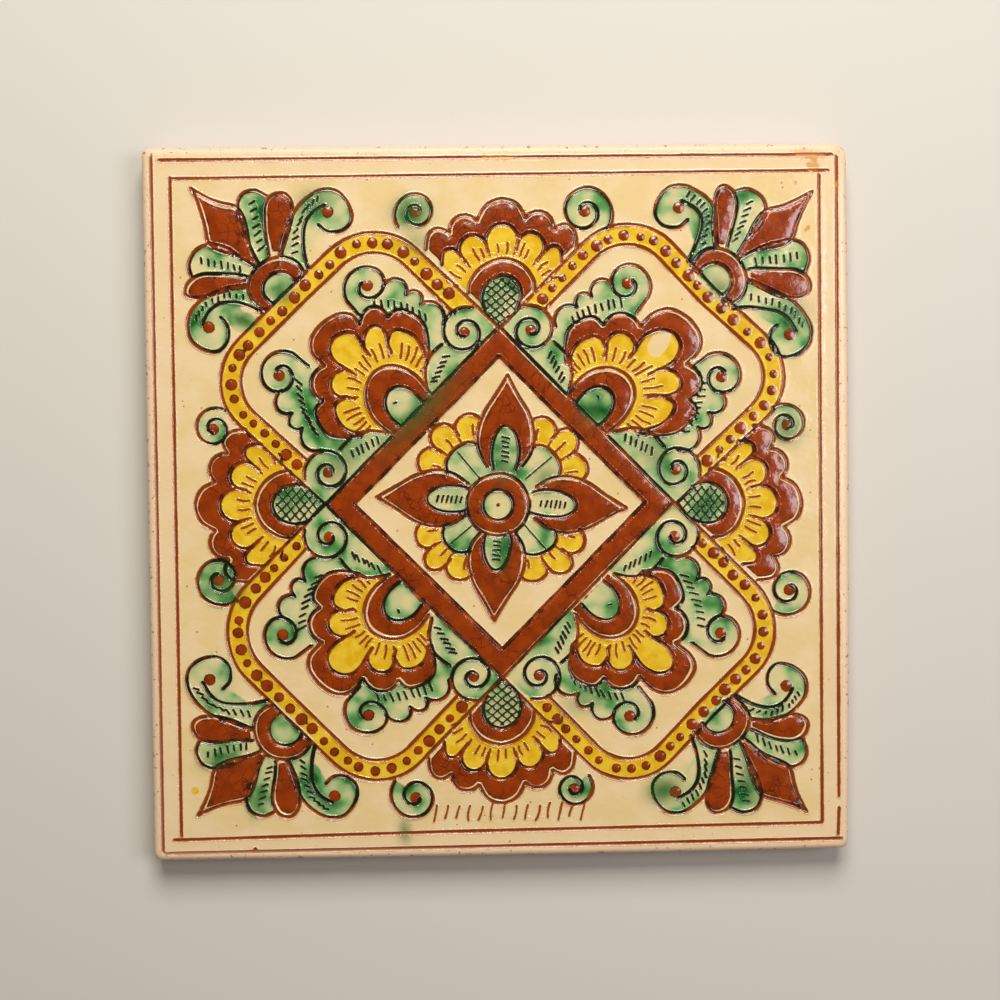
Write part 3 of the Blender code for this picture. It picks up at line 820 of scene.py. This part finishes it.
def outline_loop():
    """The tile's outline as seen from above, with its bowed sides and round corners: a ring of vertices."""
    bpy.ops.mesh.primitive_plane_add(size=1, location=(0, 0, 0))
    ring = bpy.context.object
    ring.name = "tile_slab"
    size = SIZE * MM
    ring.scale = (size[0], size[1], 1)
    bpy.ops.object.transform_apply(location=False, rotation=False, scale=True)
    bpy.ops.object.mode_set(mode="EDIT")
    bpy.ops.mesh.select_all(action="SELECT")
    bpy.ops.mesh.bevel(offset=CORNER_RADIUS * MM, segments=4, affect="VERTICES")
    bpy.ops.mesh.select_all(action="SELECT")
    bpy.ops.mesh.delete(type="ONLY_FACE")
    edges = bmesh.from_edit_mesh(ring.data)
    for edge in edges.edges:
        edge.select_set(edge.calc_length() > 10 * CORNER_RADIUS * MM)
    cuts = round((size[0] / MM - 2 * CORNER_RADIUS) / OUTLINE_STEP)
    bpy.ops.mesh.subdivide(number_cuts=cuts)
    bpy.ops.object.mode_set(mode="OBJECT")
    half = size / 2
    for vertex in ring.data.vertices:
        x, y = vertex.co[0], vertex.co[1]
        if x > 0:
            vertex.co[0] -= RIGHT_BOW * MM * (y / half[1]) ** 2 * (x / half[0]) ** 8
        if y < 0:
            vertex.co[1] += BOTTOM_BOW[x > 0] * MM * (x / half[0]) ** 2 * (y / half[1]) ** 8
        wobble = noise.noise_vector(Vector((x, y, 0)) / (9 * MM))
        vertex.co[0] -= math.copysign(OUTLINE_WOBBLE * MM * (0.5 + 0.5 * wobble[0]), x)
        vertex.co[1] -= math.copysign(OUTLINE_WOBBLE * MM * (0.5 + 0.5 * wobble[1]), y)
    return ring


def slab():
    """The tile's body without its face: rolled edge, sides, pared edge and flat back, out of one ring."""
    ring = outline_loop()
    rings = []
    steps = 6
    for i in range(steps + 1):
        a = math.pi / 2 * i / steps
        rings.append((ROLL * (1 - math.sin(a)), TOP - SKIN - ROLL * (1 - math.cos(a))))
    rings += [(0.0, z) for z in SIDE_LEVELS]
    # The last ring keeps the back's shading flat up to the pared edge.
    rings += [(0.0, PARED), (PARED * 0.4, PARED * 0.35), (PARED, 0.0), (PARED + 0.7, 0.0)]
    bpy.ops.object.mode_set(mode="EDIT")
    bpy.ops.mesh.select_all(action="SELECT")
    inset, level = 0.0, 0.0
    for number, (next_inset, next_level) in enumerate(rings):
        grow = [(half - next_inset) / (half - inset) for half in SIZE / 2]
        drop = (next_level - level) * MM
        if number:
            bpy.ops.mesh.extrude_region_move(TRANSFORM_OT_translate={"value": (0, 0, drop)})
        else:
            bpy.ops.transform.translate(value=(0, 0, drop))
        bpy.ops.transform.resize(value=(grow[0], grow[1], 1), center_override=(0, 0, 0))
        inset, level = next_inset, next_level
    bpy.ops.mesh.edge_face_add()
    bpy.ops.object.mode_set(mode="OBJECT")
    return ring


def upper_loop(body):
    """The slab's uppermost ring of vertices, in order, in millimetres."""
    mesh = bmesh.new()
    mesh.from_mesh(body.data)
    edges = [edge for edge in mesh.edges if edge.is_boundary]
    loop = [edges[0].verts[0], edges[0].verts[1]]
    while True:
        following = [edge.other_vert(loop[-1]) for edge in loop[-1].link_edges if edge.is_boundary]
        ahead = [vertex for vertex in following if vertex is not loop[-2]]
        if ahead[0] is loop[0]:
            break
        loop.append(ahead[0])
    places = np.array([vertex.co[:2] for vertex in loop]) / MM
    mesh.free()
    return places


def thinned(points, taken):
    """Leaves out points too near to one that is already there; earlier points come first."""
    kept = []
    for index, key in enumerate(map(tuple, np.floor(points / POINT_GAP).astype(int))):
        if key in taken:
            continue
        taken.add(key)
        kept.append(index)
    return points[kept]


def face_points(face, grooves, loop):
    """Where the face's mesh has its vertices: rows along each line, rings round each dot and a loose fill."""
    centre_rows, side_rows = [], []
    for points, half, _ in face.lines:
        light = half <= MARK[0]
        even, sideways = stations(points, MARK_STEP if light else LINE_STEP)
        centre_rows.append(even)
        ahead = np.column_stack([sideways[:, 1], -sideways[:, 0]])
        outer_rows = (MARK_ROW,) if light else LINE_ROWS
        foot_row = () if light else ((1 - WALL) * half,)
        for row in (*foot_row, *(half + out for out in outer_rows)):
            side_rows.append(even + row * sideways)
            side_rows.append(even - row * sideways)
            side_rows.append(np.array([even[0] - row * ahead[0], even[-1] + row * ahead[-1]]))
    rings = []
    drops = [(np.array((x, y)) * UNIT, 1.0) for x, y, length, *_ in STAINS_AND_CREASE_SHADE if length < 2]
    for place, radius in face.dots + drops + [(np.array(YELLOW_DROP) * UNIT, 0.9)]:
        rings.append(np.array([place]))
        for share, count in ((0.6, 6), (1.0, 9), (1.45, 10)):
            angles = np.arange(count) * math.tau / count + share
            rings.append(place + radius * share * np.column_stack([np.cos(angles), np.sin(angles)]))
    centre_rows = np.concatenate(centre_rows)
    side_rows = np.concatenate(side_rows)
    rings = np.concatenate(rings)
    side_rows = side_rows[grooves.measure(side_rows)[0] > ROW_GAP]
    side_rows = side_rows[np.argsort(grooves.measure(side_rows)[0])]
    rings = rings[grooves.measure(rings)[0] > RING_GAP]
    pick = np.random.default_rng(5)
    right, top = loop.max(0)
    across = np.arange(-right, right, FILL_STEP)
    up = np.arange(-top, top, FILL_STEP * 0.87)
    grid = np.array([(x + (row % 2) * FILL_STEP / 2, y) for row, y in enumerate(up) for x in across])
    grid += pick.uniform(-0.35, 0.35, grid.shape)
    grid = grid[grooves.measure(grid)[1] > FILL_GAP]
    for place, _ in face.dots:
        grid = grid[np.hypot(*(grid - place).T) > DOT_GAP]
    taken = set()
    points = np.concatenate([thinned(rows, taken) for rows in (centre_rows, side_rows, rings, grid)])
    return points[inside_box(points, loop) > RIM_GAP]


def inside_box(points, loop):
    """How far inside the loop's box each point lies."""
    return np.minimum(points - loop.min(0), loop.max(0) - points).min(1)


def wave(points, size, seed):
    """A random height, about -1 to 1, in waves of a size in millimetres; the seed keeps waves apart."""
    return np.array([noise.noise(Vector((x / size, y / size, seed))) for x, y in points])


def soft_step(values, low, high):
    """From 0 at low to 1 at high, with soft ends."""
    share = np.clip((values - low) / (high - low), 0, 1)
    return share * share * (3 - 2 * share)


def face_heights(points, layers, cuts, face, rim):
    """The relief: grooves with their burrs, pads of slip, domed dots, and a face nowhere quite flat."""
    level = FACE_WAVE * wave(points, 26, 2.0) + 0.4 * FACE_WAVE * wave(points, 6, 8.0)
    pad = soft_step(layers["brown"], -0.1, 1.4)
    level += pad * (SLIP_HEIGHT + 0.08 * wave(points, 3.2, 5.0))
    level += GLAZE_HEIGHT * soft_step(layers["yellow"], -0.2, 0.6)
    level += GLAZE_HEIGHT * soft_step(layers["green"], -0.4, 0.6) * 0.6
    for place, radius in face.dots:
        near = np.nonzero(np.abs(points - place).max(1) < radius)[0]
        share = np.hypot(*(points[near] - place).T) / radius
        level[near] += DOT_HEIGHT * np.clip(1 - share ** 2, 0, 1)
    level += cuts
    return TOP - SKIN + level * soft_step(rim, 0.0, 1.2)


def decorated_face(body, face):
    """The face as one sheet of triangles whose vertices follow the stylus lines, up to the slab's upper ring.

    It is made in code, not by hand: its relief needs rows of vertices along some ten metres of fine line."""
    loop = upper_loop(body)
    grooves = Grooves(face.lines)
    points = face_points(face, grooves, loop)
    count = len(loop)
    places = [Vector(place) for place in np.concatenate([loop, points])]
    border = [(i, (i + 1) % count) for i in range(count)]
    places, _, triangles = geometry.delaunay_2d_cdt(places, border, [], 1, 1e-5)[:3]
    flat = np.array([place[:] for place in places])
    _, clear, carved, burr = grooves.measure(flat)
    layers = colours_at(face, flat)
    rim = inside_box(flat, loop)
    rim[:count] = 0
    height = face_heights(flat, layers, burr - carved, face, rim)
    mesh = bpy.data.meshes.new("tile_face")
    vertices = np.column_stack([flat, height]) * MM
    mesh.from_pydata(vertices.tolist(), [], triangles)
    sheet = bpy.data.objects.new("tile_face", mesh)
    bpy.context.collection.objects.link(sheet)
    for name, values in (("cut", clear), *layers.items()):
        add_attribute(mesh, name, values)
    return sheet


def add_attribute(mesh, name, values):
    """A number at each vertex, for the materials."""
    attribute = mesh.attributes.get(name) or mesh.attributes.new(name, "FLOAT", "POINT")
    attribute.data.foreach_set("value", np.asarray(values, np.float32))


def glazed_tile():
    """The whole piece: the slab and its decorated face joined into one closed mesh."""
    face = decorate()
    body = slab()
    far = {"cut": REACH, "brown": -REACH, "yellow": -REACH, "green": -REACH}
    for name, value in far.items():
        add_attribute(body.data, name, [value] * len(body.data.vertices))
    sheet = decorated_face(body, face)
    bpy.ops.object.select_all(action="DESELECT")
    for part in (sheet, body):
        part.select_set(True)
    bpy.context.view_layer.objects.active = sheet
    bpy.ops.object.join()
    tile = bpy.context.object
    tile.name = "glazed_tile"
    bpy.ops.object.mode_set(mode="EDIT")
    bpy.ops.mesh.select_all(action="SELECT")
    bpy.ops.mesh.remove_doubles(threshold=0.002 * MM)
    bpy.ops.mesh.normals_make_consistent(inside=False)
    bpy.ops.object.mode_set(mode="OBJECT")
    bpy.ops.object.shade_smooth_by_angle(angle=math.radians(50))
    co = np.zeros(len(tile.data.vertices) * 3)
    tile.data.vertices.foreach_get("co", co)
    co = dented(co.reshape(-1, 3) / MM)
    tile.data.vertices.foreach_set("co", (co * MM).ravel())
    tile.data.update()
    inset = np.minimum(co[:, :2] - LOW[:2], HIGH[:2] - co[:, :2]).min(1)
    down = np.clip(TOP - SKIN - co[:, 2], 0, None)
    side = down * (inset < ROLL * 1.02)
    add_attribute(tile.data, "edge", inset - side)
    add_attribute(tile.data, "spill", spots_at(co[:, :2], SPILLS))
    # Rust stains, and the painted shade of the dent's crease at the knocked corner.
    add_attribute(tile.data, "stain_and_crease_shade", spots_at(co[:, :2], STAINS_AND_CREASE_SHADE))
    return tile


def dented(co):
    """The tile's vertices, with those round the knocked corner pressed down and in."""
    away = np.hypot(*(co[:, :2] - DENT).T)
    press = soft_step(DENT_REACH - away, 0.0, DENT_REACH) * soft_step(co[:, 2], 6.0, 9.5)
    push = np.column_stack([-DENT_IN * press, -DENT_IN * press, -press])
    return co + DENT_DEPTH * push


def linear(colour):
    """An sRGB hex colour as linear values."""
    channels = [int(colour[i:i + 2], 16) / 255 for i in (1, 3, 5)]
    return [c / 12.92 if c <= 0.04045 else ((c + 0.055) / 1.055) ** 2.4 for c in channels] + [1.0]


def per(size):
    """A texture's scale for features of a real size in millimetres."""
    return 1 / (size * MM)


def add(tree, kind, inputs=(), **settings):
    """One node with its settings, and its inputs set or linked, by name or in order. Gives its outputs."""
    node = tree.nodes.new("ShaderNode" + kind)
    for name, value in settings.items():
        setattr(node, name, value)
    named = inputs if isinstance(inputs, dict) else dict(enumerate(inputs))
    for name, value in named.items():
        if isinstance(value, bpy.types.NodeSocket):
            tree.links.new(value, node.inputs[name])
        else:
            node.inputs[name].default_value = linear(value) if isinstance(value, str) else value
    return node.outputs


# Settings that many nodes share: a range with soft ends, a blend of two colours, and one laid over another.
# A range's inputs are the value, its limits, and what it turns into at each of them, if that isn't 0 and 1.
SOFT = {"interpolation_type": "SMOOTHSTEP"}
TINT = {"data_type": "RGBA"}
GLAZE = {"data_type": "RGBA", "blend_type": "MULTIPLY"}


def new_material(name):
    """An empty material, and its node tree."""
    material = bpy.data.materials.new(name)
    material.use_nodes = True
    material.node_tree.nodes.clear()
    return material, material.node_tree


def cream_slip(tree, here, slow, edge):
    """Buff where thick, yellower where thin, paler in the margin, with fine brown specks of iron."""
    thin = add(tree, "MapRange", (slow, 0.36, 0.64), **SOFT)["Result"]
    cream = add(tree, "Mix", {0: thin, 6: "#f3d8a9", 7: "#eed198"}, **TINT)[2]
    grain = add(tree, "TexVoronoi", {"Vector": here, "Scale": per(2.6)})
    fleck = add(tree, "Math", (grain["Distance"], 0.11), operation="LESS_THAN")[0]
    chance = add(tree, "SeparateColor", {"Color": grain["Color"]})["Red"]
    chosen = add(tree, "Math", (chance, 0.74), operation="GREATER_THAN")[0]
    speck = add(tree, "Math", (fleck, chosen), operation="MULTIPLY")[0]
    cream = add(tree, "Mix", {0: speck, 6: cream, 7: "#b98350"}, **TINT)[2]
    margin = add(tree, "MapRange", (edge, 7.0, 9.0, 0.55, 0.0), **SOFT)["Result"]
    return add(tree, "Mix", {0: margin, 6: cream, 7: "#f5d8b2"}, **TINT)[2]


def amber_yellow(tree, pool, blotch):
    """Mottled, deeper where it pools."""
    thick = add(tree, "Math", (pool, 0.30, blotch), operation="MULTIPLY_ADD")[0]
    thick = add(tree, "MapRange", (thick, 0.50, 0.80), **SOFT)["Result"]
    return add(tree, "Mix", {0: thick, 6: "#f2cb38", 7: "#e5b414"}, **TINT)[2]


def copper_green(tree, pool, cut):
    """A pale wash that gathers into emerald, and a little along the lines."""
    gathered = add(tree, "MapRange", (cut, 0.1, 1.4, 0.05, 0.0), **SOFT)["Result"]
    depth = add(tree, "Math", (pool, gathered), operation="ADD")[0]
    wash = add(tree, "ValToRGB", {"Fac": depth})["Color"]
    stops = wash.node.color_ramp.elements
    stops[0].position = 0.38
    stops[0].color = linear("#e2d39b")
    stops[1].position = 0.80
    stops[1].color = linear("#00601c")
    for position, colour in ((0.50, "#c6ca93"), (0.59, "#9dbb7c"), (0.68, "#5c9a55")):
        stops.new(position).color = linear(colour)
    return wash


def iron_brown(tree, here, slow, blotch, brown):
    """Red-brown slip, clouded, burnt darker in places at its edge, with a web of crackle 2 to 3 mm wide."""
    bent = add(tree, "TexNoise", {"Vector": here, "Scale": per(2.4), "Detail": 2.0})["Color"]
    bent = add(tree, "VectorMath", (bent, (0.0022, 0.0022, 0.0)), operation="MULTIPLY")["Vector"]
    bent = add(tree, "VectorMath", (here, bent), operation="ADD")["Vector"]
    web = add(tree, "TexVoronoi", {"Vector": bent, "Scale": per(2.7)}, feature="DISTANCE_TO_EDGE")["Distance"]
    crack = add(tree, "MapRange", (web, 0.0, 0.055, 1.0, 0.0), **SOFT)["Result"]
    where = add(tree, "MapRange", (slow, 0.42, 0.60, 0.0, 0.75), **SOFT)["Result"]
    crack = add(tree, "Math", (crack, where), operation="MULTIPLY")[0]
    cloud = add(tree, "MapRange", (blotch, 0.34, 0.66), **SOFT)["Result"]
    iron = add(tree, "Mix", {0: cloud, 6: "#9e3c00", 7: "#8a3000"}, **TINT)[2]
    rim = add(tree, "MapRange", (brown, 0.0, 0.6, 1.0, 0.0), **SOFT)["Result"]
    patchy = add(tree, "MapRange", (blotch, 0.38, 0.58), **SOFT)["Result"]
    burnt = add(tree, "Math", (rim, patchy), operation="MULTIPLY")[0]
    iron = add(tree, "Mix", {0: burnt, 6: iron, 7: "#401200"}, **TINT)[2]
    return add(tree, "Mix", {0: crack, 6: iron, 7: "#3a1000"}, **TINT)[2]


def stylus_line(tree, slow, ripple, blotch, cut, brown, green):
    """Bare clay under the glaze, with painted shade darkening it towards the groove's depth; darker beside
    the brown, near black where green ran in.
    """
    # Painted shade: the clay, and the green-black where green ran in, darken towards the groove's depth.
    depth_shade = add(tree, "MapRange", (cut, -0.42, -0.02), **SOFT)["Result"]
    clay = add(tree, "Mix", {0: depth_shade, 6: "#84340a", 7: "#b4591c"}, **TINT)[2]
    black = add(tree, "Mix", {0: depth_shade, 6: "#100f08", 7: "#332c12"}, **TINT)[2]
    beside = add(tree, "MapRange", (brown, -1.0, -0.2), **SOFT)["Result"]
    patchy = add(tree, "MapRange", (blotch, 0.40, 0.58), **SOFT)["Result"]
    beside = add(tree, "Math", (beside, patchy), operation="MULTIPLY")[0]
    clay = add(tree, "Mix", {0: beside, 6: clay, 7: "#431903"}, **TINT)[2]
    ran = add(tree, "Math", (slow, 3.0, green), operation="MULTIPLY_ADD")[0]
    ran = add(tree, "Math", (ripple, 0.8, ran), operation="MULTIPLY_ADD")[0]
    wet = add(tree, "MapRange", (ran, 1.0, 1.6), **SOFT)["Result"]
    return add(tree, "Mix", {0: wet, 6: clay, 7: black}, **TINT)[2]


def glazed_slipware():
    """Earthenware with cream slip, painted and clear-glazed: a wet gloss over colours at different depths."""
    material, tree = new_material("clear_glazed_slipware")
    here = add(tree, "TexCoord")["Object"]
    cut, brown, yellow, green, edge, spill, stain_and_crease_shade = (
        add(tree, "Attribute", attribute_type="GEOMETRY", attribute_name=name)["Fac"]
        for name in ("cut", "brown", "yellow", "green", "edge", "spill", "stain_and_crease_shade"))

    # The brush's ragged edge, about a millimetre from one ripple to the next, slower clouds of tone, the worn
    # rim's flecks, the slip's wavy end, crumbs of clay and the glaze's skin.
    sizes = (1.3, 9.0, 7.0, 3.4, 1.2, 11.0, 0.6, 1.6)
    details = (3.0, 2.0, 1.5, 3.0, 4.0, 3.0, 1.0, 2.0)
    ragged, slow, pool, blotch, flecks, lap, crumbs, peel = (
        add(tree, "TexNoise", {"Vector": here, "Scale": per(size), "Detail": detail})["Fac"]
        for size, detail in zip(sizes, details))
    ripple = add(tree, "Math", (ragged, 0.5), operation="SUBTRACT")[0]

    # Where each colour lies: how far inside it a place is, shaken by the brush.
    masks = {}
    for name, layer, shake, low, high in (
        ("yellow", yellow, 0.5, -0.25, 0.15), ("green", green, 0.9, -0.55, 0.15),
        ("brown", brown, 0.45, -0.12, 0.12), ("line", cut, -0.36, 0.14, -0.10),
        ("halo", green, 0.9, -2.6, 0.4), ("stain_and_crease_shade", stain_and_crease_shade, 1.6, 0.35, 0.75),
    ):
        shaken = add(tree, "Math", (ripple, shake, layer), operation="MULTIPLY_ADD")[0]
        masks[name] = add(tree, "MapRange", (shaken, low, high), **SOFT)["Result"]

    # A faint green halo where the glaze ran past its line, here and there.
    here_and_there = add(tree, "MapRange", (slow, 0.42, 0.62, 0.0, 0.5), **SOFT)["Result"]
    halo = add(tree, "Math", (masks["halo"], here_and_there), operation="MULTIPLY")[0]

    # Green that ran lies over slip and line alike, and so do rust and the crease's painted shade.
    run = add(tree, "Math", (spill, 0.62), operation="MULTIPLY")[0]
    rust_and_crease_shade = add(tree, "Math", (masks["stain_and_crease_shade"], 0.75), operation="MULTIPLY")[0]

    # On the rolled rim the slip is thin, pinkish and dull, and lower down more and more clay shows.
    rim = add(tree, "MapRange", (edge, 0.8, 3.2, 1.0, 0.0), **SOFT)["Result"]
    pink = add(tree, "Math", (rim, 0.9), operation="MULTIPLY")[0]
    worn = add(tree, "Math", (edge, -0.022, flecks), operation="MULTIPLY_ADD")[0]
    worn = add(tree, "MapRange", (worn, 0.60, 0.66, 0.0, 0.8), **SOFT)["Result"]

    # The slip was poured over the face and ran down the sides, where it ends in a wavy line.
    bare = add(tree, "Math", (lap, 5.0, edge), operation="MULTIPLY_ADD")[0]
    bare = add(tree, "MapRange", (bare, -3.6, -3.3, 1.0, 0.0), **SOFT)["Result"]

    # The coats in the order they went on.
    colour = cream_slip(tree, here, slow, edge)
    for mask, coat, blend in (
        (halo, "#bccf92", TINT),
        (masks["yellow"], amber_yellow(tree, pool, blotch), TINT),
        (masks["green"], copper_green(tree, pool, cut), TINT),
        (spill, "#2f9a52", GLAZE),
        (masks["brown"], iron_brown(tree, here, slow, blotch, brown), TINT),
        (masks["line"], stylus_line(tree, slow, ripple, blotch, cut, brown, green), TINT),
        (run, "#1a5c28", TINT),
        (rust_and_crease_shade, "#d98f3e", TINT),
        (pink, "#efcfb0", TINT),
        (worn, "#a8562f", TINT),
        (bare, fired_clay(tree, here), TINT),
    ):
        colour = add(tree, "Mix", {0: mask, 6: colour, 7: coat}, **blend)[2]

    # The glaze's skin, and crumbs of clay that the stylus left along each line.
    outer = add(tree, "MapRange", (cut, 0.14, 0.46, 1.0, 0.0), **SOFT)["Result"]
    inner = add(tree, "MapRange", (cut, -0.14, 0.06), **SOFT)["Result"]
    beside = add(tree, "Math", (outer, inner), operation="MULTIPLY")[0]
    crumbs = add(tree, "Math", (crumbs, beside), operation="MULTIPLY")[0]
    skin = add(tree, "Math", (peel, 0.26, crumbs), operation="MULTIPLY_ADD")[0]
    bump = add(tree, "Bump", {"Height": skin, "Strength": 0.8, "Distance": 0.0003})["Normal"]

    # A soft gloss, duller on the rim, where the glaze is thin; it is rich in lead, so it reflects strongly.
    gloss = add(tree, "MapRange", (rim, 0.0, 1.0, 0.15, 0.50), **SOFT)["Result"]
    gloss = add(tree, "MapRange", (bare, 0.0, 1.0, gloss, 0.85), **SOFT)["Result"]
    glazed = {"Base Color": colour, "Roughness": gloss, "Normal": bump, "IOR": 1.68}
    shader = add(tree, "BsdfPrincipled", glazed)
    add(tree, "OutputMaterial", {"Surface": shader["BSDF"]})
    return material


def fired_clay(tree, here):
    """Red earthenware's own colour, lighter and darker in clouds."""
    cloud = add(tree, "TexNoise", {"Vector": here, "Scale": per(14), "Detail": 4.0})["Fac"]
    return add(tree, "Mix", {0: cloud, 6: "#b0653f", 7: "#9a5232"}, **TINT)[2]


def bare_red_clay():
    """Terracotta, wire-cut and unglazed: matt, gritty and a little uneven in colour."""
    material, tree = new_material("bare_red_clay")
    here = add(tree, "TexCoord")["Object"]
    clay = fired_clay(tree, here)
    grit = add(tree, "TexNoise", {"Vector": here, "Scale": per(0.8), "Detail": 3.0})["Fac"]
    bump = add(tree, "Bump", {"Height": grit, "Strength": 0.5, "Distance": 0.0003})["Normal"]
    shader = add(tree, "BsdfPrincipled", {"Base Color": clay, "Roughness": 0.85, "Normal": bump})
    add(tree, "OutputMaterial", {"Surface": shader["BSDF"]})
    return material


def pale_board():
    """A plain pale surface for the tile to lie on."""
    material, tree = new_material("pale_board")
    shader = add(tree, "BsdfPrincipled", {"Base Color": "#d9d6cf", "Roughness": 0.7})
    add(tree, "OutputMaterial", {"Surface": shader["BSDF"]})
    return material


def camera():
    """Almost straight above the tile, as in the photograph. The pose was solved for its four corners."""
    data = bpy.data.cameras.new("camera")
    data.lens = 60
    data.sensor_width = 36
    eye = bpy.data.objects.new("camera", data)
    eye.location = (-0.01137, 0.01830, 0.48188)
    eye.rotation_euler = [math.radians(a) for a in (-2.095, -1.394, -0.610)]
    bpy.context.scene.collection.objects.link(eye)
    bpy.context.scene.camera = eye


def soft_light(name, place, size, power, colour):
    """A square soft light that looks at the tile."""
    data = bpy.data.lights.new(name, "AREA")
    data.size = size
    data.energy = power
    data.color = colour
    lamp = bpy.data.objects.new(name, data)
    lamp.location = place
    lamp.rotation_euler = (-Vector(place)).to_track_quat("-Z", "Y").to_euler()
    bpy.context.scene.collection.objects.link(lamp)


def studio():
    """Plain floor, pale surroundings and two soft lights."""
    # A hair above the tile's back, because two surfaces in one plane shade in false rings from below.
    bpy.ops.mesh.primitive_plane_add(size=6, location=(0, 0, 0.03 * MM))
    floor = bpy.context.object
    floor.name = "floor"
    floor.data.materials.append(pale_board())
    world = bpy.data.worlds.new("pale_room")
    world.use_nodes = True
    background = world.node_tree.nodes["Background"]
    background.inputs["Color"].default_value = (1.0, 0.86, 0.58, 1)
    background.inputs["Strength"].default_value = 0.105
    bpy.context.scene.world = world
    soft_light("key", (0.02, 0.56, 0.64), 0.42, 6.8, (1.0, 0.965, 0.88))
    soft_light("window", (0.51, 0.08, 0.80), 0.36, 2.5, (0.98, 0.93, 0.98))


def main():
    camera()
    studio()
    tile = glazed_tile()
    tile.data.materials.clear()
    tile.data.materials.append(glazed_slipware())
    tile.data.materials.append(bare_red_clay())
    for face in tile.data.polygons:
        face.material_index = int(face.normal.z < -0.2 or face.center.z < BARE_FOOT * MM)
    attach(tile, "root")
    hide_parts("tile")
    bpy.context.scene.view_settings.view_transform = "Standard"


main()
